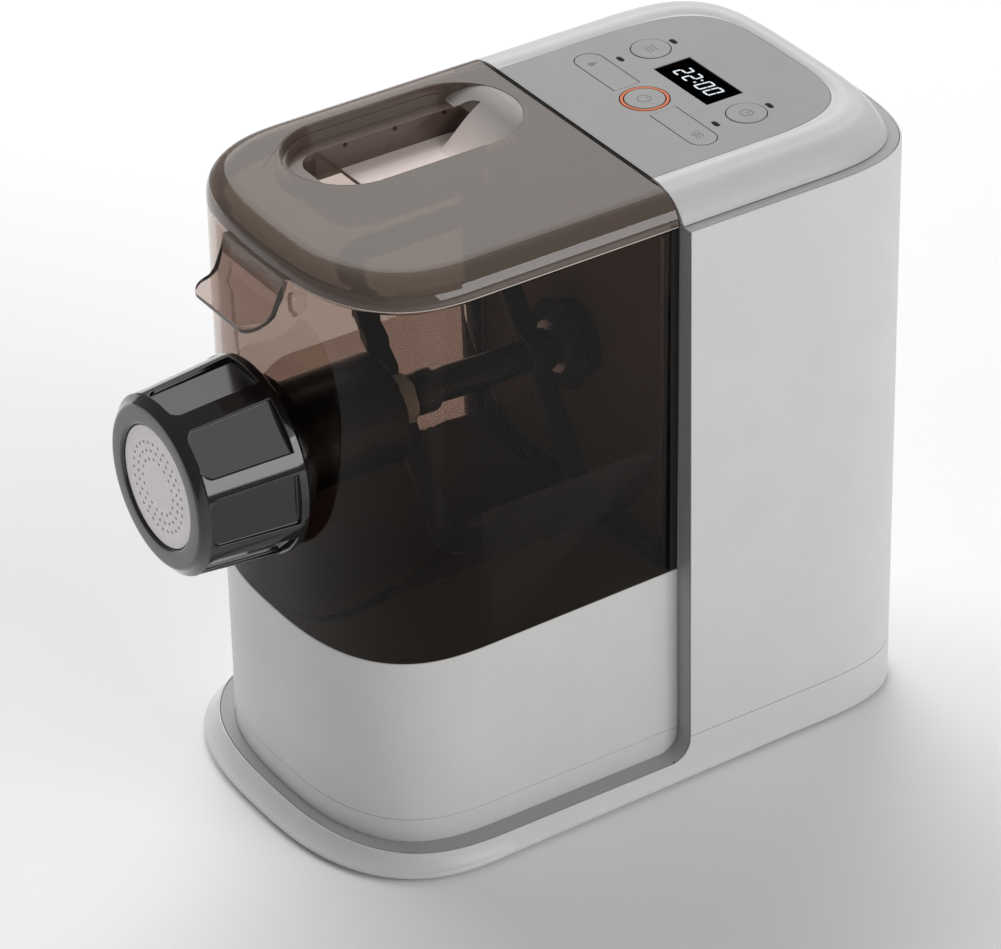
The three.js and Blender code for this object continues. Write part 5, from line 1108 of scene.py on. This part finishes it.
def make_cap():
    low, high, inner_back = 303, 311, 3
    rings = [at(cap_outline(inset), z) for inset, z in CAP_PROFILE + CAP_CREST]
    inner = [
        at(cap_outline(WALL, inner_back), 296), at(cap_outline(WALL, inner_back), 299.7),
        at(cap_outline(CAP_SLOPE, inner_back), 304.4),
    ]
    body = cut(loft(rings), loft(inner), prism_z(fascia_outline(0), FASCIA_TOP - 2, FASCIA_TOP + 3))
    body = cut(
        body, block(-DISPLAY_HALF, DISPLAY_HALF, DISPLAY_FRONT, DISPLAY_REAR, low, high),
        *window_slots(GAP, low, high), *control_holes(CAP_HOLE_GAP, low, high), *hook_slots(),
    )
    finished(body, "cap_shell", "housing", "cap", "white_shell", ["top_cap"], smooth=28, round_edges=0.25)


DIGIT_BARS = {0: "abcdef", 2: "abged"}
DIGITS = ((-14.6, 2), (-7.6, 2), (2.0, 0), (9.0, 0))


def digit_segments(left, low, tall, wide, bar):
    """The seven bars of a display digit as boxes in the display's plane, named as is usual."""
    right, top, middle = left + wide, low + tall, low + tall / 2
    return {
        "a": (left + bar, right - bar, top - bar, top),
        "g": (left + bar, right - bar, middle - bar / 2, middle + bar / 2),
        "d": (left + bar, right - bar, low, low + bar),
        "f": (left, left + bar, middle + bar / 4, top - bar / 2),
        "b": (right - bar, right, middle + bar / 4, top - bar / 2),
        "e": (left, left + bar, low + bar / 2, middle - bar / 4),
        "c": (right - bar, right, low + bar / 2, middle - bar / 4),
    }


def slanted_bar(x0, x1, y0, y1, base, z0, z1):
    """A bar that leans like the digits, which stand on a base line."""
    lean = 0.12
    corners = [(x0, y0), (x1, y0), (x1, y1), (x0, y1)]
    return prism_z([(x + lean * (y - base), y) for x, y in corners], z0, z1)


def make_display():
    low, high = FASCIA_TOP - 2, FASCIA_TOP - 0.25
    bar_low, bar_high = high + 0.02, high + 0.06
    lens = prism_z(rounded_box(-DISPLAY_HALF, DISPLAY_HALF, DISPLAY_FRONT, DISPLAY_REAR, 0.8), low, high)
    finished(lens, "display_window", "housing", "lens", "display_black", ["display_lens"], round_edges=0.1)
    tall, wide, bar, base = 9.2, 5.2, 0.95, 65.9
    bars = []
    for left, digit in DIGITS:
        segments = digit_segments(left, base, tall, wide, bar)
        bars += [slanted_bar(*segments[s], base, bar_low, bar_high) for s in DIGIT_BARS[digit]]
    for y in (base + 2.2, base + 6.0):
        bars.append(slanted_bar(-0.9, 0.2, y, y + 1.1, base, bar_low, bar_high))
    finished(join(bars[0], *bars[1:]), "display_digits", "housing", "glow", "display_black")


def ring_mark(radius, width, cx, cy, z0, z1):
    outer, inner = circle(radius, 40, cx, cy), circle(radius - width, 40, cx, cy)
    return cut(prism_z(outer, z0, z1), prism_z(inner, z0 - 1, z1 + 1))


def make_marks():
    """Plain printed signs on the keys: start, list, clock, drop and waves."""
    low, high, line = FASCIA_TOP + KEY_PROUD, FASCIA_TOP + KEY_PROUD + 0.04, 0.55
    x, y = ROUND_X, ROUND_Y
    power = ring_mark(3.4, line, 0, START_Y - 0.4, low, high)
    power = cut(power, block(-1.3, 1.3, 41.6, 45, low - 1, high + 1))
    power = join(power, block(-line / 2, line / 2, 41.2, 44.6, low, high))
    finished(power, "start_sign", "start_key", "print", "panel_grey")
    rows = [block(-x - 3, -x + 3, y + d - line / 2, y + d + line / 2, low, high) for d in (-2, 0, 2)]
    finished(join(*rows), "list_sign", "left_round_key", "print", "panel_grey")
    clock = join(
        ring_mark(3.2, line, x, y, low, high), block(x - line / 2, x + line / 2, y, 72.8, low, high),
        block(x, 39.9, y - line / 2, y + line / 2, low, high),
    )
    finished(clock, "clock_sign", "right_round_key", "print", "panel_grey")
    low, high, sign_x = FASCIA_TOP + 0.04, FASCIA_TOP + 0.08, 41.5
    drop = [
        (-sign_x + 1.7 * math.sin(a) * (1 - math.cos(a)) / 1.3, 40.6 + 2.6 * math.cos(a))
        for a in np.linspace(0, 2 * math.pi, 33)[:-1]
    ]
    finished(prism_z(drop, low, high), "drop_sign", "left_long_key", "print", "panel_grey")
    waves = []
    for d in (-1.7, 0, 1.7):
        across = np.linspace(-3.2, 3.2, 25)
        upper = [(sign_x + x, START_Y + d + 0.45 * math.sin(x * 1.6) + line / 2) for x in across]
        lower = [(x, y - line) for x, y in reversed(upper)]
        waves.append(prism_z(lower[::-1] + upper[::-1], low, high))
    finished(join(*waves), "waves_sign", "right_long_key", "print", "panel_grey")


def key_top(obj, name, body, replaced, corners):
    finished(obj, name, body, "fascia", "panel_grey", [replaced], round_edges=corners, segments=3)


def make_controls():
    under, over = FASCIA_TOP - 3, FASCIA_TOP + 1
    lens_hole = block(
        -DISPLAY_HALF - GAP, DISPLAY_HALF + GAP, DISPLAY_FRONT - GAP, DISPLAY_REAR + GAP, under, over
    )
    panel = cut(
        prism_z(fascia_outline(GAP / 2), FASCIA_TOP - 2, FASCIA_TOP), lens_hole,
        *window_slots(GAP, under, over), *control_holes(PANEL_HOLE_GAP, under, over),
    )
    finished(panel, "fascia_panel", "housing", "fascia", "panel_grey", ["control_fascia"], round_edges=0.15)
    low, high = KEY_BOTTOM, FASCIA_TOP + KEY_PROUD
    start = prism_z(circle(START_RADIUS, 96, 0, START_Y), low, high)
    key_top(start, "start_key_top", "start_key", "start_button", KEY_CORNERS)
    band = prism_z(circle(RING_OUTER, 96, 0, START_Y), low, FASCIA_TOP + 0.1)
    ring = cut(band, prism_z(circle(RING_INNER, 96, 0, START_Y), 300, 312))
    finished(ring, "start_ring_band", "housing", "orange", "orange_ring", ["start_ring"], round_edges=0.15)
    for side, tag in ((1, "right"), (-1, "left")):
        key = mirrored(prism_z(circle(ROUND_RADIUS, 96, ROUND_X, ROUND_Y), low, high), side)
        key_top(key, f"{tag}_round_key_top", f"{tag}_round_key", f"round_key_{tag}", KEY_CORNERS)
        key = mirrored(prism_z(long_key(0), low, FASCIA_TOP + 0.02), side)
        key_top(key, f"{tag}_long_key_top", f"{tag}_long_key", f"long_key_{tag}", 0.14)


make_foot()
make_rear_shell()
make_front_base()
make_trims()
make_chamber()
make_lid()
make_chute()
make_recess_shade_liner()
make_arm("upper", -0.35)
make_arm("lower", 0.15)
make_nut()
make_die()
make_barrel()
make_cap()
make_controls()
make_display()
make_marks()


# Stage
def add_floor():
    mesh = bpy.data.meshes.new("floor")
    half = 12
    corners = [(-half, -half, 0), (half, -half, 0), (half, half, 0), (-half, half, 0)]
    mesh.from_pydata(corners, [], [(0, 1, 2, 3)])
    floor = add_object("floor", mesh)
    material, tree, shader = new_material("studio_floor")
    paint(tree, shader, noise(tree, 3, 2), (0.86, 0.86, 0.86), (0.9, 0.9, 0.9))
    put(shader, {"Roughness": 0.8})
    mesh.materials.append(material)


def set_world(strength):
    scene_world = bpy.data.worlds.new("studio")
    scene_world.use_nodes = True
    background = scene_world.node_tree.nodes["Background"]
    background.inputs["Color"].default_value = (1, 1, 1, 1)
    background.inputs["Strength"].default_value = strength
    bpy.context.scene.world = scene_world


add_camera()
add_floor()
set_world(0.25)
add_area("back_left", (-2.1, 1.3, 1.9), (0, 0, 0.25), (2.6, 2.2), 20)
add_area("left_key", (-2.7, 0.4, 2.5), (0, 0, 0.1), (4.0, 3.2), 130, reflected=False)
add_area("right_fill", (2.8, 1.0, 1.3), (0, 0, 0.15), (2.0, 1.6), 40)
add_area("upper_right", (2.0, 1.6, 2.6), (0, 0, 0.25), (1.8, 1.4), 8)
bpy.context.scene.view_settings.view_transform = "Standard"
